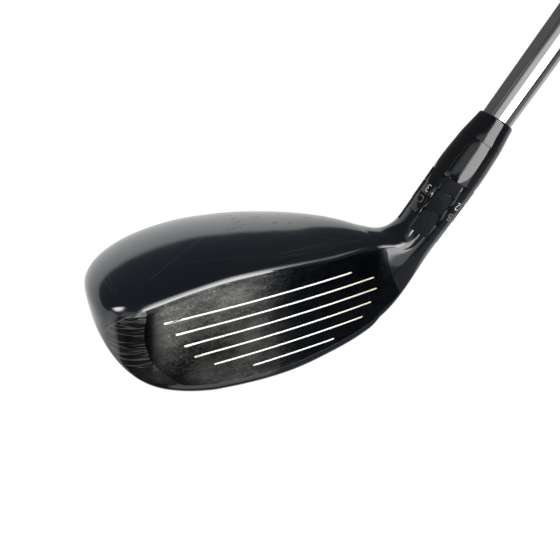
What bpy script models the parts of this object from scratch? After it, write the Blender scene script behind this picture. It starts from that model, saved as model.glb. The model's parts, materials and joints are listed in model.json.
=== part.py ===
"""Hybrid golf club, modelled as the pieces it is assembled from.

The head is laid out in millimetres in its own frame: the origin is on the
ground under the centre of the face, -X is the toe, +X the heel, -Y the target
side and +Z up, with the sole on the ground. The whole club then hangs from an
empty, so that the middle of the hands on the grip is the world's origin.
"""
import math

import bmesh
import bpy
import numpy as np
from mathutils import Vector

MM = 0.001
GAP = 0.3                       # between pieces that touch

# ---- driving dimensions, in millimetres and degrees ----
CLUB_LENGTH = 1022.0            # ground to butt end, along the shaft
HOLD_BELOW_BUTT = 100.0         # middle of the hands
LOFT = math.radians(19.7)
LIE = math.radians(58.3)
FACE_CENTRE_Z = 16.3            # height of the middle of the face
FACE_BULGE = 495.0              # toe-to-heel radius of the face
AXIS_X = 30.9                   # where the shaft's axis meets the ground
AXIS_Y = 9.4

TOE_X = -52.7                   # the toe's outermost point
TOE_Y = 29.8
TOE_Z = 21.5
HOSEL_R = 7.4
BEND_X = 32.8                   # centre of the bend from the body into the hosel
BEND_Z = 44.9
BEND_R = 22.0
CROWN_RISE = math.radians(12.2)     # slope of the crown behind the topline
SOLE_DROP = math.radians(-2.0)      # slope of the sole behind the leading edge
TOPLINE_ROUND = 2.3
LEADING_ROUND = 2.6
MORPH_START = 28.0              # sweep position where the hosel starts to form

# Lines of the head along the sweep: (sweep position, value). The sweep position
# is x up to the bend and the length round the bend after it.
TOPLINE = ((-60, 15.4), (-38, 16.1), (-27, 17.5), (-16, 18.4), (-4, 18.2), (6, 17.5),
           (16, 16.7), (26, 16.4), (33, 16.0), (40, 15.6), (48, 11.0), (55.2, 11.0))
LEADING = ((-60, -14.0), (-35, -15.4), (-26, -15.6), (-17, -16.5), (-8, -17.1), (0, -17.1),
           (12, -15.8), (23, -13.9), (31, -11.6), (40, -7.9), (48, -4.2), (55.2, -0.6))
REAR = ((-60, 57.0), (-30, 60.2), (-10, 60.8), (8, 58.2), (22, 50.0), (33, 39.0),
        (42, 26.6), (55.2, 18.0))
RIM = ((-60, 20.1), (-30, 19.9), (-10, 18.9), (8, 17.7), (22, 18.7), (33, 20.1),
       (42, 22.9), (55.2, 22.9))
# How far the heel swells under the bend, so that it holds the bolt and the bore.
HEEL_SWELL = ((22, 0.0), (31, 1.6), (36, 4.6), (40, 5.6), (44, 4.0), (48.5, 1.8), (55.2, 0.0))
# How each line closes round the toe: (sweep position where it starts, power).
TOE_TOP = (-33.6, 2.7)
TOE_BOTTOM = (-24.4, 1.45)
TOE_REAR = (-11.6, 2.5)
TOE_FRONT = (-36.0, 3.0)

# Walls, and the openings that the crown and the face plate are welded into.
BODY_WALL = 1.8
CROWN_WALL = 1.2
FACE_WALL = 2.2
CROWN_SPAN = (-49.0, 27.0)      # sweep positions
FACE_SPAN = (-39.0, 33.4)
CROWN_BAND = (2.045, 2.93)      # section parameters, see section()
FACE_BAND = (0.06, 0.94)
CROWN_FIT = 0.009               # clearance across the sections
FACE_FIT = 0.015

GROOVES = 6
GROOVE_TOP = 10.1               # height up the face of the highest score line
GROOVE_PITCH = 4.0
GROOVE_WIDTH = 0.9
GROOVE_DEPTH = 0.4
GROOVE_ENDS = ((-35.5, 22.9), (-34.1, 30.9), (-32.6, 31.8),
               (-29.3, 29.3), (-24.2, 25.7), (-12.9, 14.6))

# Heights along the shaft's axis, from the ground.
SEAT = 20.0                     # shelf that the bolt's washer bears on
SHELF = 2.0
BORE_FLOOR = SEAT + SHELF
BORE_STEP = 34.0                # where the bore widens from the sleeve's nose to its spigot
TUBE_R = 7.25
BORE_R = 6.1
NOSE_BORE_R = 4.6
RECESS_R = 4.5
BOLT_HOLE_R = 2.8
HOSEL_TOP = 44.4
NOTCH = 2.8                     # depth of the hosel's notches
RING_TOP = 51.1
RING_SLOT = 3.4                 # depth of the ring's upper slots
SLEEVE_TOP = 55.6
COLLAR_TOP = 68.6
FERRULE_TOP = 76.2
SLOT_WIDTH = 5.7
LUG_WIDTH = SLOT_WIDTH - 2 * GAP - 0.1
RING_R = 7.5
SPIGOT_R = BORE_R - GAP
NOSE_R = NOSE_BORE_R - GAP
NOSE_FOOT = 24.0
SHAFT_FOOT = 36.4
TIP_R = 4.7                     # 0.370 in tip
SOCKET_R = TIP_R + GAP
BOLT_R = 2.4
BOLT_TIP = 33.0
BOLT_HEAD = 3.0
BOLT_HEAD_R = 3.9
WASHER = 0.8

# Shaft and grip, along the same axis.
TAPER_START = 230.0
TAPER_END = 950.0
BUTT_R = 7.62                   # 0.600 in butt
SHAFT_WALL = 0.9
GRIP_LENGTH = 265.0
TAPE = 0.4
CAP = 6.0
CAP_R = 13.3
VENT_R = 1.6

# Weight screw in the sole; depths run from the sole's skin into the head.
WEIGHT_X = 0.0
WEIGHT_BAND = 3.42              # section parameter of the port's centre
PORT_R = 7.0
PORT_DEPTH = 4.6
BOSS_R = 9.0
BOSS_DEPTH = 11.5
THREAD_R = 4.35
THREAD_DEPTH = 10.0
WEIGHT_HEAD = (0.5, 3.3)
WEIGHT_SHANK_R = 4.0
WEIGHT_TIP = 9.4
SEAL = (3.6, 4.3)

ROUND = 32                      # sides of a turned piece


# ---- materials ----
MATERIALS = {
    "black_paint": ((0.012, 0.013, 0.016), 0.12, 0.0),
    "brushed_face": ((0.075, 0.08, 0.085), 0.38, 1.0),
    "cast_body": ((0.02, 0.021, 0.024), 0.25, 0.6),
    "anodised": ((0.018, 0.02, 0.024), 0.32, 0.9),
    "steel": ((0.56, 0.57, 0.58), 0.12, 1.0),
    "weight_steel": ((0.30, 0.30, 0.31), 0.3, 1.0),
    "gloss_plastic": ((0.01, 0.01, 0.012), 0.1, 0.0),
    "seal_rubber": ((0.02, 0.02, 0.02), 0.7, 0.0),
    "grip_rubber": ((0.025, 0.025, 0.027), 0.8, 0.0),
    "tape": ((0.6, 0.55, 0.42), 0.8, 0.0),
    "foam": ((0.75, 0.72, 0.62), 0.9, 0.0),
}


def material(name):
    found = bpy.data.materials.get(name)
    if found:
        return found
    colour, roughness, metallic = MATERIALS[name]
    made = bpy.data.materials.new(name)
    made.use_nodes = True
    shader = made.node_tree.nodes["Principled BSDF"]
    shader.inputs["Base Color"].default_value = (*colour, 1.0)
    shader.inputs["Roughness"].default_value = roughness
    shader.inputs["Metallic"].default_value = metallic
    return made


# ---- helpers ----
def empty(name, location=(0, 0, 0), rotation=(0, 0, 0), parent=None):
    made = bpy.data.objects.new(name, None)
    bpy.context.collection.objects.link(made)
    made.location = Vector(location) * MM
    made.rotation_euler = rotation
    made.parent = parent
    return made


def mesh_object(name, bm, finish, parent, height=0.0, sharp=35.0):
    """Turn a bmesh drawn in millimetres into an object, height up its parent's Z axis."""
    bmesh.ops.recalc_face_normals(bm, faces=bm.faces)
    bmesh.ops.scale(bm, vec=(MM, MM, MM), verts=bm.verts)
    mesh = bpy.data.meshes.new(name)
    bm.to_mesh(mesh)
    bm.free()
    mesh.shade_smooth()
    mesh.set_sharp_from_angle(angle=math.radians(sharp))
    if finish:
        mesh.materials.append(material(finish))
    made = bpy.data.objects.new(name, mesh)
    bpy.context.collection.objects.link(made)
    made.parent = parent
    made.location = (0, 0, height * MM)
    return made


def hide_tool(tool):
    tool.hide_render = True
    tool.display_type = "WIRE"
    return tool


def boolean(target, tool, operation):
    hide_tool(tool)
    step = target.modifiers.new(f"{operation.lower()}_{tool.name}", "BOOLEAN")
    step.operation = operation
    step.object = tool


def settle(made, sharp=35.0):
    """Apply a piece's Booleans, so that the edges they cut can be marked sharp."""
    evaluated = made.evaluated_get(bpy.context.evaluated_depsgraph_get())
    mesh = bpy.data.meshes.new_from_object(evaluated)
    mesh.set_sharp_from_angle(angle=math.radians(sharp))
    made.modifiers.clear()
    made.data = mesh


def turned(name, outline, finish, parent, sides=ROUND, height=0.0):
    """Spin an outline of (radius, height) points round Z; one off the axis closes on itself."""
    bm = bmesh.new()
    verts = [bm.verts.new((r, 0, z)) for r, z in outline]
    for a, b in zip(verts, verts[1:]):
        bm.edges.new((a, b))
    if outline[0][0] > 0:
        bm.edges.new((verts[-1], verts[0]))
    bmesh.ops.spin(bm, geom=bm.verts[:] + bm.edges[:], cent=(0, 0, 0), axis=(0, 0, 1),
                   angle=2 * math.pi, steps=sides, use_merge=True)
    bmesh.ops.remove_doubles(bm, verts=bm.verts, dist=0.0001)
    return mesh_object(name, bm, finish, parent, height)


def tube(r_in, r_out, low, high):
    return [(r_in, low), (r_out, low), (r_out, high), (r_in, high)]


def rod(radius, low, high):
    return [(0, low), (radius, low), (radius, high), (0, high)]


def cross(name, width, low, high, parent, reach=12.0):
    """Two bars crossed at right angles: the tool for four slots, or for four lugs."""
    half = width / 2
    corners = [(half, half), (half, reach), (-half, reach), (-half, half), (-reach, half),
               (-reach, -half), (-half, -half), (-half, -reach), (half, -reach), (half, -half),
               (reach, -half), (reach, half)]
    bm = bmesh.new()
    base = bm.faces.new([bm.verts.new((x, y, low)) for x, y in corners])
    grown = bmesh.ops.extrude_face_region(bm, geom=[base])
    top = [item for item in grown["geom"] if isinstance(item, bmesh.types.BMVert)]
    bmesh.ops.translate(bm, verts=top, vec=(0, 0, high - low))
    return hide_tool(mesh_object(name, bm, None, parent))


# ---- the head's surface ----
def line(knots, x):
    """Smooth curve through the knots, with slopes that never overshoot by much."""
    places = np.array([k[0] for k in knots], float)
    values = np.array([k[1] for k in knots], float)
    steps = np.diff(places)
    rise = np.diff(values) / steps
    slopes = np.empty_like(values)
    slopes[1:-1] = (rise[:-1] * steps[1:] + rise[1:] * steps[:-1]) / (steps[1:] + steps[:-1])
    slopes[0], slopes[-1] = rise[0], rise[-1]
    x = min(max(x, places[0]), places[-1])
    i = min(max(int(np.searchsorted(places, x)) - 1, 0), len(steps) - 1)
    t = (x - places[i]) / steps[i]
    return ((1 + 2 * t) * (1 - t) ** 2 * values[i] + t * (1 - t) ** 2 * steps[i] * slopes[i]
            + t * t * (3 - 2 * t) * values[i + 1] + t * t * (t - 1) * steps[i] * slopes[i + 1])


def smooth(t):
    t = min(max(t, 0.0), 1.0)
    return t * t * (3 - 2 * t)


def closing(x, toe, ending):
    """How open a section still is on its way to the toe: 1 in the body, 0 at the toe."""
    start, power = ending
    near = min(max((start - x) / (start - toe), 0.0), 1.0)
    return max(1 - near ** power, 0.0) ** (1 / power)


def bezier(a, b, c, d, t):
    return (1 - t) ** 3 * a + 3 * (1 - t) ** 2 * t * b + 3 * (1 - t) * t * t * c + t ** 3 * d


def unit(angle):
    return np.array([math.cos(angle), math.sin(angle)])


def section(place, band, inset):
    """One point of a section, as (y, z). band runs round it: 0-1 up the face, 1-2 over
    the topline, 2-3 back over the crown, 3-4 forward under the sole and 4-5 round the
    leading edge. inset moves the section inward by that wall."""
    toe = TOE_X + inset
    x = min(place, BEND_X)
    rest = 1 - smooth((place - MORPH_START) / (BEND_X + BEND_R * LIE - MORPH_START))
    centre = np.array([TOE_Y, TOE_Z])
    bulge = x * x / (2 * FACE_BULGE)
    rise = np.array([math.sin(LOFT), math.cos(LOFT)])
    base = np.array([bulge, FACE_CENTRE_Z])
    top = base + line(TOPLINE, place) * rise
    low = base + line(LEADING, place) * rise
    rear = np.array([line(REAR, place) - inset, line(RIM, place)])
    along, under = unit(CROWN_RISE), unit(SOLE_DROP)
    into_face = np.array([rise[1], -rise[0]])
    into_crown = np.array([along[1], -along[0]])
    into_sole = np.array([-under[1], under[0]])
    top = top + inset * (into_face + into_crown) / (1 + into_face @ into_crown)
    low = low + inset * (into_face + into_sole) / (1 + into_face @ into_sole)
    front = closing(x, toe, TOE_FRONT)
    top = centre + (top - centre) * np.array([front, closing(x, toe, TOE_TOP)])
    low = centre + (low - centre) * np.array([front, closing(x, toe, TOE_BOTTOM)])
    rear = centre + (rear - centre) * closing(x, toe, TOE_REAR)

    height = float(np.linalg.norm(top - low))
    depth = max(rear[0] - top[0], 0.05)
    up = (top - low) / max(height, 1e-6)
    round_top = min(TOPLINE_ROUND, 0.3 * height, 0.3 * depth)
    round_low = min(LEADING_ROUND, 0.3 * height, 0.3 * depth)
    face_top, crown_front = top - up * round_top, top + along * round_top
    face_low, sole_front = low + up * round_low, low + under * round_low
    arc, t = int(band) % 5, band - int(band)
    if arc == 0:
        point = face_low + (face_top - face_low) * t
    elif arc == 1:
        point = bezier(face_top, face_top + 0.55 * (top - face_top),
                       crown_front + 0.55 * (top - crown_front), crown_front, t)
    elif arc == 2:
        fall = max(top[1] - rear[1], 0.02)
        point = bezier(crown_front, crown_front + along * depth * 0.33,
                       rear + np.array([0, 0.43 * fall]), rear, t)
    elif arc == 3:
        drop = abs(rear[1] - low[1])
        point = bezier(rear, rear - np.array([0, 0.55 * drop]),
                       sole_front + under * (rear[0] - low[0]) * 0.45, sole_front, t)
        point[1] -= line(HEEL_SWELL, place) * math.sin(math.pi * t ** 1.5) ** 2
    else:
        point = bezier(sole_front, sole_front + 0.55 * (low - sole_front),
                       face_low + 0.55 * (low - face_low), face_low, t)
    turns = (210, 150, 130, 0, -130, -150)
    angle = math.radians(turns[arc] + (turns[arc + 1] - turns[arc]) * t)
    ring = np.array([AXIS_Y, BEND_Z - BEND_R]) + (HOSEL_R - inset) * unit(angle)
    return rest * point + (1 - rest) * ring


def head_point(place, band, inset=0.0):
    """A point of the head's skin, or of a surface a wall's thickness inside it."""
    if place < BEND_X:
        span = BEND_X - TOE_X
        place = BEND_X - (BEND_X - place) * (span - inset) / span
    y, z = section(place, band, inset)
    if place <= BEND_X:
        return np.array([place, y, z])
    turn = min((place - BEND_X) / BEND_R, LIE)
    beyond = max(place - BEND_X - BEND_R * LIE, 0.0)
    reach = BEND_Z - z
    return np.array([BEND_X + reach * math.sin(turn) + beyond * math.cos(LIE), y,
                     BEND_Z - reach * math.cos(turn) + beyond * math.sin(LIE)])


def face_point(x, up, inset):
    """A point on the face's cylinder: x across, up the face from its centre, inset into it."""
    y = x * x / (2 * FACE_BULGE) + up * math.sin(LOFT) + inset * math.cos(LOFT)
    return np.array([x, y, FACE_CENTRE_Z + up * math.cos(LOFT) - inset * math.sin(LOFT)])


def spread(low, high, count):
    return list(np.linspace(low, high, count))


def slab(bm, outer, inner):
    """A closed sheet between two matching grids of points."""
    rows, cols = len(outer), len(outer[0])
    skins = [[[bm.verts.new(p) for p in row] for row in grid] for grid in (outer, inner)]
    for skin in skins:
        for i in range(rows - 1):
            for j in range(cols - 1):
                bm.faces.new((skin[i][j], skin[i][j + 1], skin[i + 1][j + 1], skin[i + 1][j]))
    rim = [(0, j) for j in range(cols)] + [(i, cols - 1) for i in range(1, rows)]
    rim += [(rows - 1, j) for j in range(cols - 2, -1, -1)] + [(i, 0) for i in range(rows - 2, 0, -1)]
    for (i, j), (k, n) in zip(rim, rim[1:] + rim[:1]):
        bm.faces.new((skins[0][i][j], skins[0][k][n], skins[1][k][n], skins[1][i][j]))


def patch(name, places, bands, outside, inside, finish, parent):
    """A slab of the head's skin, from one inset to another."""
    bm = bmesh.new()
    grids = [[[head_point(p, b, inset) for b in bands] for p in places] for inset in (outside, inside)]
    slab(bm, *grids)
    return mesh_object(name, bm, finish, parent)


# ---- the head's pieces ----
def body_rows():
    """Sweep positions of the body's grid, from the toe to the hosel's end."""
    toe = [TOE_X + step for step in (0.01, 0.12, 0.5, 1.2, 2.2)]
    body = [-44.0, -32.0, -25.0, -18.0, -11.0, -4.0, 3.0, 10.0, 17.0, 22.0, *CROWN_SPAN, *FACE_SPAN]
    bend_end = BEND_X + BEND_R * LIE
    bend = spread(BEND_X + 3.0, bend_end, 8) + [bend_end + 2.5 * step for step in (1, 2, 3)]
    return sorted(toe + body + bend)


def body_bands():
    """Section parameters of the body's grid."""
    face = [0.0, 0.25, 0.5, 0.75, *FACE_BAND]
    crown = [1.0, 1.35, 1.7, 2.0, 2.2, 2.35, 2.5, 2.65, 2.8, *CROWN_BAND]
    sole = [3.0] + spread(3.12, 3.92, 9) + [4.0, 4.35, 4.7]
    return sorted(face + crown + sole)


def is_opening(place_a, place_b, band_a, band_b):
    """True where a cell of the body's grid lies in the crown's or the face's opening."""
    for span, ends in ((CROWN_SPAN, CROWN_BAND), (FACE_SPAN, FACE_BAND)):
        if span[0] <= place_a and place_b <= span[1] and ends[0] <= band_a and band_b <= ends[1]:
            return True
    return False


def body_shell():
    """The cast shell as one closed sheet, open for the crown, the face and the hosel."""
    rows, bands = body_rows(), body_bands()
    count = len(bands)
    bm = bmesh.new()
    skins = [[[bm.verts.new(head_point(p, b, inset)) for b in bands] for p in rows]
             for inset in (0.0, BODY_WALL)]
    kept = set()
    for i in range(len(rows) - 1):
        for j in range(count):
            if not is_opening(rows[i], rows[i + 1], bands[j], (bands + [5.0])[j + 1]):
                kept.add((i, j))
    for i, j in kept:
        n = (j + 1) % count
        for skin in skins:
            bm.faces.new((skin[i][j], skin[i][n], skin[i + 1][n], skin[i + 1][j]))
        around = (((i - 1, j), (i, j), (i, n)), ((i + 1, j), (i + 1, n), (i + 1, j)),
                  ((i, (j - 1) % count), (i + 1, j), (i, j)), ((i, n), (i, n), (i + 1, n)))
        for cell, (a, b), (c, d) in around:
            if cell not in kept and 0 <= cell[0] < len(rows) - 1:
                bm.faces.new((skins[0][a][b], skins[0][c][d], skins[1][c][d], skins[1][a][b]))
    for skin in skins:
        bm.faces.new(skin[0])
    for j in range(count):
        n = (j + 1) % count
        bm.faces.new((skins[0][-1][j], skins[0][-1][n], skins[1][-1][n], skins[1][-1][j]))
    return bm


def envelope(name, parent, inset):
    """The head's outside as a plain solid, for trimming what is built inside it."""
    rows = body_rows()
    bands = spread(0, 5, 41)[:-1]
    bm = bmesh.new()
    rings = [[bm.verts.new(head_point(p, b, inset)) for b in bands] for p in rows]
    for ring, following in zip(rings, rings[1:]):
        for j in range(len(bands)):
            n = (j + 1) % len(bands)
            bm.faces.new((ring[j], ring[n], following[n], following[j]))
    bm.faces.new(rings[0])
    bm.faces.new(rings[-1])
    return hide_tool(mesh_object(name, bm, None, parent))


def head_body(head, axis, port):
    body = mesh_object("head_body", body_shell(), "cast_body", head)
    pillar = turned("hosel_pillar", rod(TUBE_R, -6.0, HOSEL_TOP + 1.0), None, axis)
    boolean(pillar, envelope("head_envelope", head, 0.12), "INTERSECT")
    pocket = patch("face_pocket", spread(*FACE_SPAN, 9), spread(*FACE_BAND, 4), -3.0,
                   FACE_WALL + GAP, None, head)
    boolean(pillar, pocket, "DIFFERENCE")
    boss = turned("port_boss", rod(BOSS_R, 1.3, BOSS_DEPTH), None, port)
    boolean(body, pillar, "UNION")
    boolean(body, boss, "UNION")
    drill = [(0, -12.0), (RECESS_R, -12.0), (RECESS_R, SEAT), (BOLT_HOLE_R, SEAT), (BOLT_HOLE_R, BORE_FLOOR),
             (NOSE_BORE_R, BORE_FLOOR), (NOSE_BORE_R, BORE_STEP), (BORE_R, BORE_STEP), (BORE_R, HOSEL_TOP),
             (14.0, HOSEL_TOP), (14.0, HOSEL_TOP + 12.0), (0, HOSEL_TOP + 12.0)]
    boolean(body, turned("hosel_drill", drill, None, axis, ROUND + 4), "DIFFERENCE")
    drill = [(0, -8.0), (PORT_R, -8.0), (PORT_R, PORT_DEPTH), (THREAD_R, PORT_DEPTH),
             (THREAD_R, THREAD_DEPTH), (0, THREAD_DEPTH)]
    boolean(body, turned("port_drill", drill, None, port, ROUND + 4), "DIFFERENCE")
    notches = cross("hosel_notches", SLOT_WIDTH, HOSEL_TOP - NOTCH, HOSEL_TOP + 4.0, axis)
    boolean(body, notches, "DIFFERENCE")
    return body


def crown_shell(head):
    places = spread(CROWN_SPAN[0] + GAP + 0.1, CROWN_SPAN[1] - GAP - 0.1, 15)
    bands = spread(CROWN_BAND[0] + CROWN_FIT, CROWN_BAND[1] - CROWN_FIT, 14)
    return patch("crown_shell", places, bands, 0.0, CROWN_WALL, "black_paint", head)


def face_plate(head):
    places = spread(FACE_SPAN[0] + GAP + 0.1, FACE_SPAN[1] - GAP - 0.1, 13)
    bands = spread(FACE_BAND[0] + FACE_FIT, FACE_BAND[1] - FACE_FIT, 5)
    plate = patch("face_plate", places, bands, 0.0, FACE_WALL, "brushed_face", head)
    bm = bmesh.new()
    for i, (start, end) in enumerate(GROOVE_ENDS[:GROOVES]):
        up = GROOVE_TOP - GROOVE_PITCH * i
        xs = spread(start, end, 9)
        ups = (up - GROOVE_WIDTH / 2, up + GROOVE_WIDTH / 2)
        slab(bm, *[[[face_point(x, u, inset) for u in ups] for x in xs] for inset in (-1.0, GROOVE_DEPTH)])
    boolean(plate, mesh_object("score_line_tool", bm, None, head), "DIFFERENCE")
    return plate


def damping_pad(head):
    """A spot of tacky glue on the floor of the cavity, low at its edges."""
    places = spread(-30.0, -14.0, 7)
    bands = spread(3.62, 3.80, 6)
    foot = BODY_WALL + GAP
    bm = bmesh.new()
    under = [[head_point(p, b, foot) for b in bands] for p in places]
    over = []
    for i, p in enumerate(places):
        crown_i = math.sin(math.pi * (i + 0.35) / (len(places) - 0.3))
        over.append([head_point(p, b, foot + 0.8 + 2.4 * crown_i * math.sin(math.pi * (j + 0.35) / 5.7))
                     for j, b in enumerate(bands)])
    slab(bm, under, over)
    return mesh_object("damping_pad", bm, "foam", head)


# ---- the hosel's pieces ----
def hosel_bolt(axis):
    head_low = SEAT - WASHER - 2 * GAP - BOLT_HEAD
    outline = [(0, head_low), (BOLT_HEAD_R - 0.4, head_low), (BOLT_HEAD_R, head_low + 0.4),
               (BOLT_HEAD_R, head_low + BOLT_HEAD), (BOLT_R, head_low + BOLT_HEAD),
               (BOLT_R, BOLT_TIP - 0.6), (BOLT_R - 0.6, BOLT_TIP), (0, BOLT_TIP)]
    bolt = turned("hosel_bolt", outline, "steel", axis, 24)
    socket = turned("bolt_socket", rod(2.1, head_low - 2.0, head_low + 1.9), None, axis, 6)
    boolean(bolt, socket, "DIFFERENCE")
    return bolt


def between_lugs(name, inside, low, high, parent):
    """The tool that leaves four lugs standing from low to high outside a radius."""
    tool = turned(name, tube(inside, 14.0, low, high), None, parent, ROUND + 4)
    boolean(tool, cross(f"{name}_lugs", LUG_WIDTH, low - 2.0, high + 2.0, parent, 20.0), "DIFFERENCE")
    return tool


def index_ring(axis):
    """A band with four lugs down into the hosel's notches and four slots up for the sleeve's."""
    foot = HOSEL_TOP - NOTCH + GAP
    ring = turned("index_ring", tube(BORE_R, RING_R, foot, RING_TOP), "anodised", axis)
    boolean(ring, between_lugs("ring_foot_tool", 3.0, foot - 3.0, HOSEL_TOP + GAP, axis), "DIFFERENCE")
    slots = cross("ring_slots", SLOT_WIDTH, RING_TOP - RING_SLOT, RING_TOP + 3.0, axis)
    boolean(ring, slots, "DIFFERENCE")
    return ring


def adapter_sleeve(axis):
    """Collar with four lugs, over the spigot that the shaft is glued into and the bolt's nose."""
    lug_foot = RING_TOP - RING_SLOT + GAP
    thread_r = BOLT_R + 0.35
    step = BORE_STEP + GAP
    outline = [(thread_r, NOSE_FOOT), (NOSE_R, NOSE_FOOT), (NOSE_R, step), (SPIGOT_R, step),
               (SPIGOT_R, lug_foot), (RING_R, lug_foot), (RING_R, SLEEVE_TOP), (SOCKET_R, SLEEVE_TOP),
               (SOCKET_R, SHAFT_FOOT - GAP), (thread_r, SHAFT_FOOT - GAP)]
    sleeve = turned("adapter_sleeve", outline, "anodised", axis)
    gap = between_lugs("sleeve_lug_tool", SPIGOT_R + 0.1, lug_foot - 2.0, RING_TOP + GAP, axis)
    boolean(sleeve, gap, "DIFFERENCE")
    return sleeve


def small_rings(axis):
    """Washer under the bolt's head, and the clip above the shelf that keeps the bolt in."""
    low = SEAT - GAP - WASHER
    washer = turned("bolt_washer", tube(BOLT_R + GAP, RECESS_R - GAP, low, SEAT - GAP), "steel", axis, 24)
    low = BORE_FLOOR + GAP
    clip = turned("bolt_retainer", tube(BOLT_R + GAP, NOSE_BORE_R - GAP - 0.1, low, low + 1.0),
                  "seal_rubber", axis, 24)
    return washer, clip


def ferrules(axis):
    """Straight collar and tapered cap, both a slide fit over the shaft."""
    low = SLEEVE_TOP + GAP
    collar = [(SOCKET_R, low), (7.4, low), (7.45, low + 2.0), (7.35, low + 5.0), (7.1, low + 8.5),
              (6.75, COLLAR_TOP), (SOCKET_R, COLLAR_TOP)]
    low = COLLAR_TOP + GAP
    cap = [(SOCKET_R, low), (6.7, low), (6.3, low + 2.6), (5.85, low + 5.2), (5.55, FERRULE_TOP - 0.5),
           (5.2, FERRULE_TOP), (SOCKET_R, FERRULE_TOP)]
    return (turned("ferrule_collar", collar, "gloss_plastic", axis),
            turned("ferrule_cap", cap, "gloss_plastic", axis))


# ---- shaft and grip ----
def shaft_radius(along):
    t = (along - TAPER_START) / (TAPER_END - TAPER_START)
    return TIP_R + (BUTT_R - TIP_R) * min(max(t, 0.0), 1.0)


def shaft(axis):
    top = CLUB_LENGTH - CAP - GAP
    stations = [SHAFT_FOOT, TAPER_START, 410.0, 590.0, 770.0, TAPER_END, top]
    outer = [(shaft_radius(a), a) for a in stations]
    inner = [(r - SHAFT_WALL, a) for r, a in reversed(outer)]
    return turned("shaft", outer + inner, "steel", axis, 28)


def tip_plug(axis):
    low = SHAFT_FOOT + 0.5
    return turned("tip_plug", rod(TIP_R - SHAFT_WALL - GAP, low, low + 9.0), "foam", axis, 20)


def over_shaft(lift, along):
    return shaft_radius(along) + lift


def grip_tape(axis):
    top = CLUB_LENGTH - CAP - 3.0
    foot = CLUB_LENGTH - GRIP_LENGTH + 5.0
    stations = [foot, 850.0, TAPER_END, top]
    inner = [(over_shaft(GAP, a), a) for a in stations]
    outer = [(r + TAPE, a) for r, a in reversed(inner)]
    return turned("grip_tape", inner + outer, "tape", axis, 24)


def grip(axis):
    """Moulded rubber sleeve, thin at its mouth and thick at the butt."""
    top = CLUB_LENGTH - CAP
    foot = CLUB_LENGTH - GRIP_LENGTH
    skin = [(8.1, foot), (8.7, foot + 3.0), (9.0, foot + 30.0), (9.7, foot + 90.0),
            (10.5, foot + 150.0), (11.4, foot + 210.0), (12.2, foot + 240.0), (CAP_R, top - 5.0),
            (CAP_R, top)]
    clear = GAP + TAPE + GAP
    bore = [(over_shaft(clear, a), a) for a in (top, TAPER_END, 850.0, foot)]
    return turned("grip", skin + bore, "grip_rubber", axis, 28)


def grip_cap(axis):
    low = CLUB_LENGTH - CAP + GAP
    outline = [(VENT_R, low), (CAP_R, low), (CAP_R, CLUB_LENGTH - 2.5), (CAP_R - 1.2, CLUB_LENGTH - 0.6),
               (CAP_R - 3.0, CLUB_LENGTH), (VENT_R, CLUB_LENGTH)]
    return turned("grip_cap", outline, "grip_rubber", axis, 28)


# ---- the weight screw ----
def port_frame(head):
    """An empty on the sole's skin, with +Z square into the head."""
    here = head_point(WEIGHT_X, WEIGHT_BAND)
    back = head_point(WEIGHT_X, WEIGHT_BAND - 0.05)
    ahead = head_point(WEIGHT_X, WEIGHT_BAND + 0.05)
    tilt = math.atan2(back[2] - ahead[2], back[1] - ahead[1])
    return empty("weight_axis", here, (tilt, 0, 0), head)


def sole_weight(port):
    low, high = WEIGHT_HEAD
    head_r = PORT_R - GAP - 0.1
    outline = [(0, low), (head_r - 0.4, low), (head_r, low + 0.4), (head_r, high), (WEIGHT_SHANK_R, high),
               (WEIGHT_SHANK_R, WEIGHT_TIP - 0.6), (WEIGHT_SHANK_R - 0.6, WEIGHT_TIP), (0, WEIGHT_TIP)]
    weight = turned("sole_weight", outline, "weight_steel", port)
    boolean(weight, turned("weight_socket", rod(2.6, low - 2.0, low + 2.4), None, port, 6), "DIFFERENCE")
    return weight


def weight_seal(port):
    return turned("weight_seal", tube(WEIGHT_SHANK_R + GAP, PORT_R - GAP - 0.2, *SEAL), "seal_rubber", port)


def main():
    for old in list(bpy.context.scene.objects):
        bpy.data.objects.remove(old, do_unlink=True)
    lean = math.pi / 2 - LIE
    reach = CLUB_LENGTH - HOLD_BELOW_BUTT
    hold = (AXIS_X + reach * math.cos(LIE), AXIS_Y, reach * math.sin(LIE))
    head = empty("head_frame", [-c for c in hold])
    axis = empty("hosel_axis", (AXIS_X, AXIS_Y, 0), (0, lean, 0), head)
    port = port_frame(head)
    head_body(head, axis, port)
    crown_shell(head)
    face_plate(head)
    damping_pad(head)
    sole_weight(port)
    weight_seal(port)
    bolt_axis = empty("bolt_axis", parent=axis)
    hosel_bolt(bolt_axis)
    small_rings(axis)
    ring_axis = empty("ring_axis", parent=axis)
    index_ring(ring_axis)
    shaft_axis = empty("shaft_axis", parent=axis)
    adapter_sleeve(shaft_axis)
    ferrules(shaft_axis)
    shaft(shaft_axis)
    tip_plug(shaft_axis)
    grip_tape(shaft_axis)
    grip(shaft_axis)
    grip_cap(shaft_axis)
    for made in [o for o in bpy.context.scene.objects if o.modifiers and not o.hide_render]:
        settle(made)


main()
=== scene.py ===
"""Looks of the hybrid golf club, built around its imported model.

The head's skin, the face and every turned piece are made again here at a fine
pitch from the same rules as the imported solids, in millimetres in the head's own
frame: the origin is on the ground under the face centre, -X is the toe, -Y the
target side and +Z up. Pieces round the shaft are drawn along its axis, with
their height counted from the ground.
"""
import json
import math

import bmesh
import bpy
import numpy as np
from mathutils import Matrix, Vector


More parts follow.
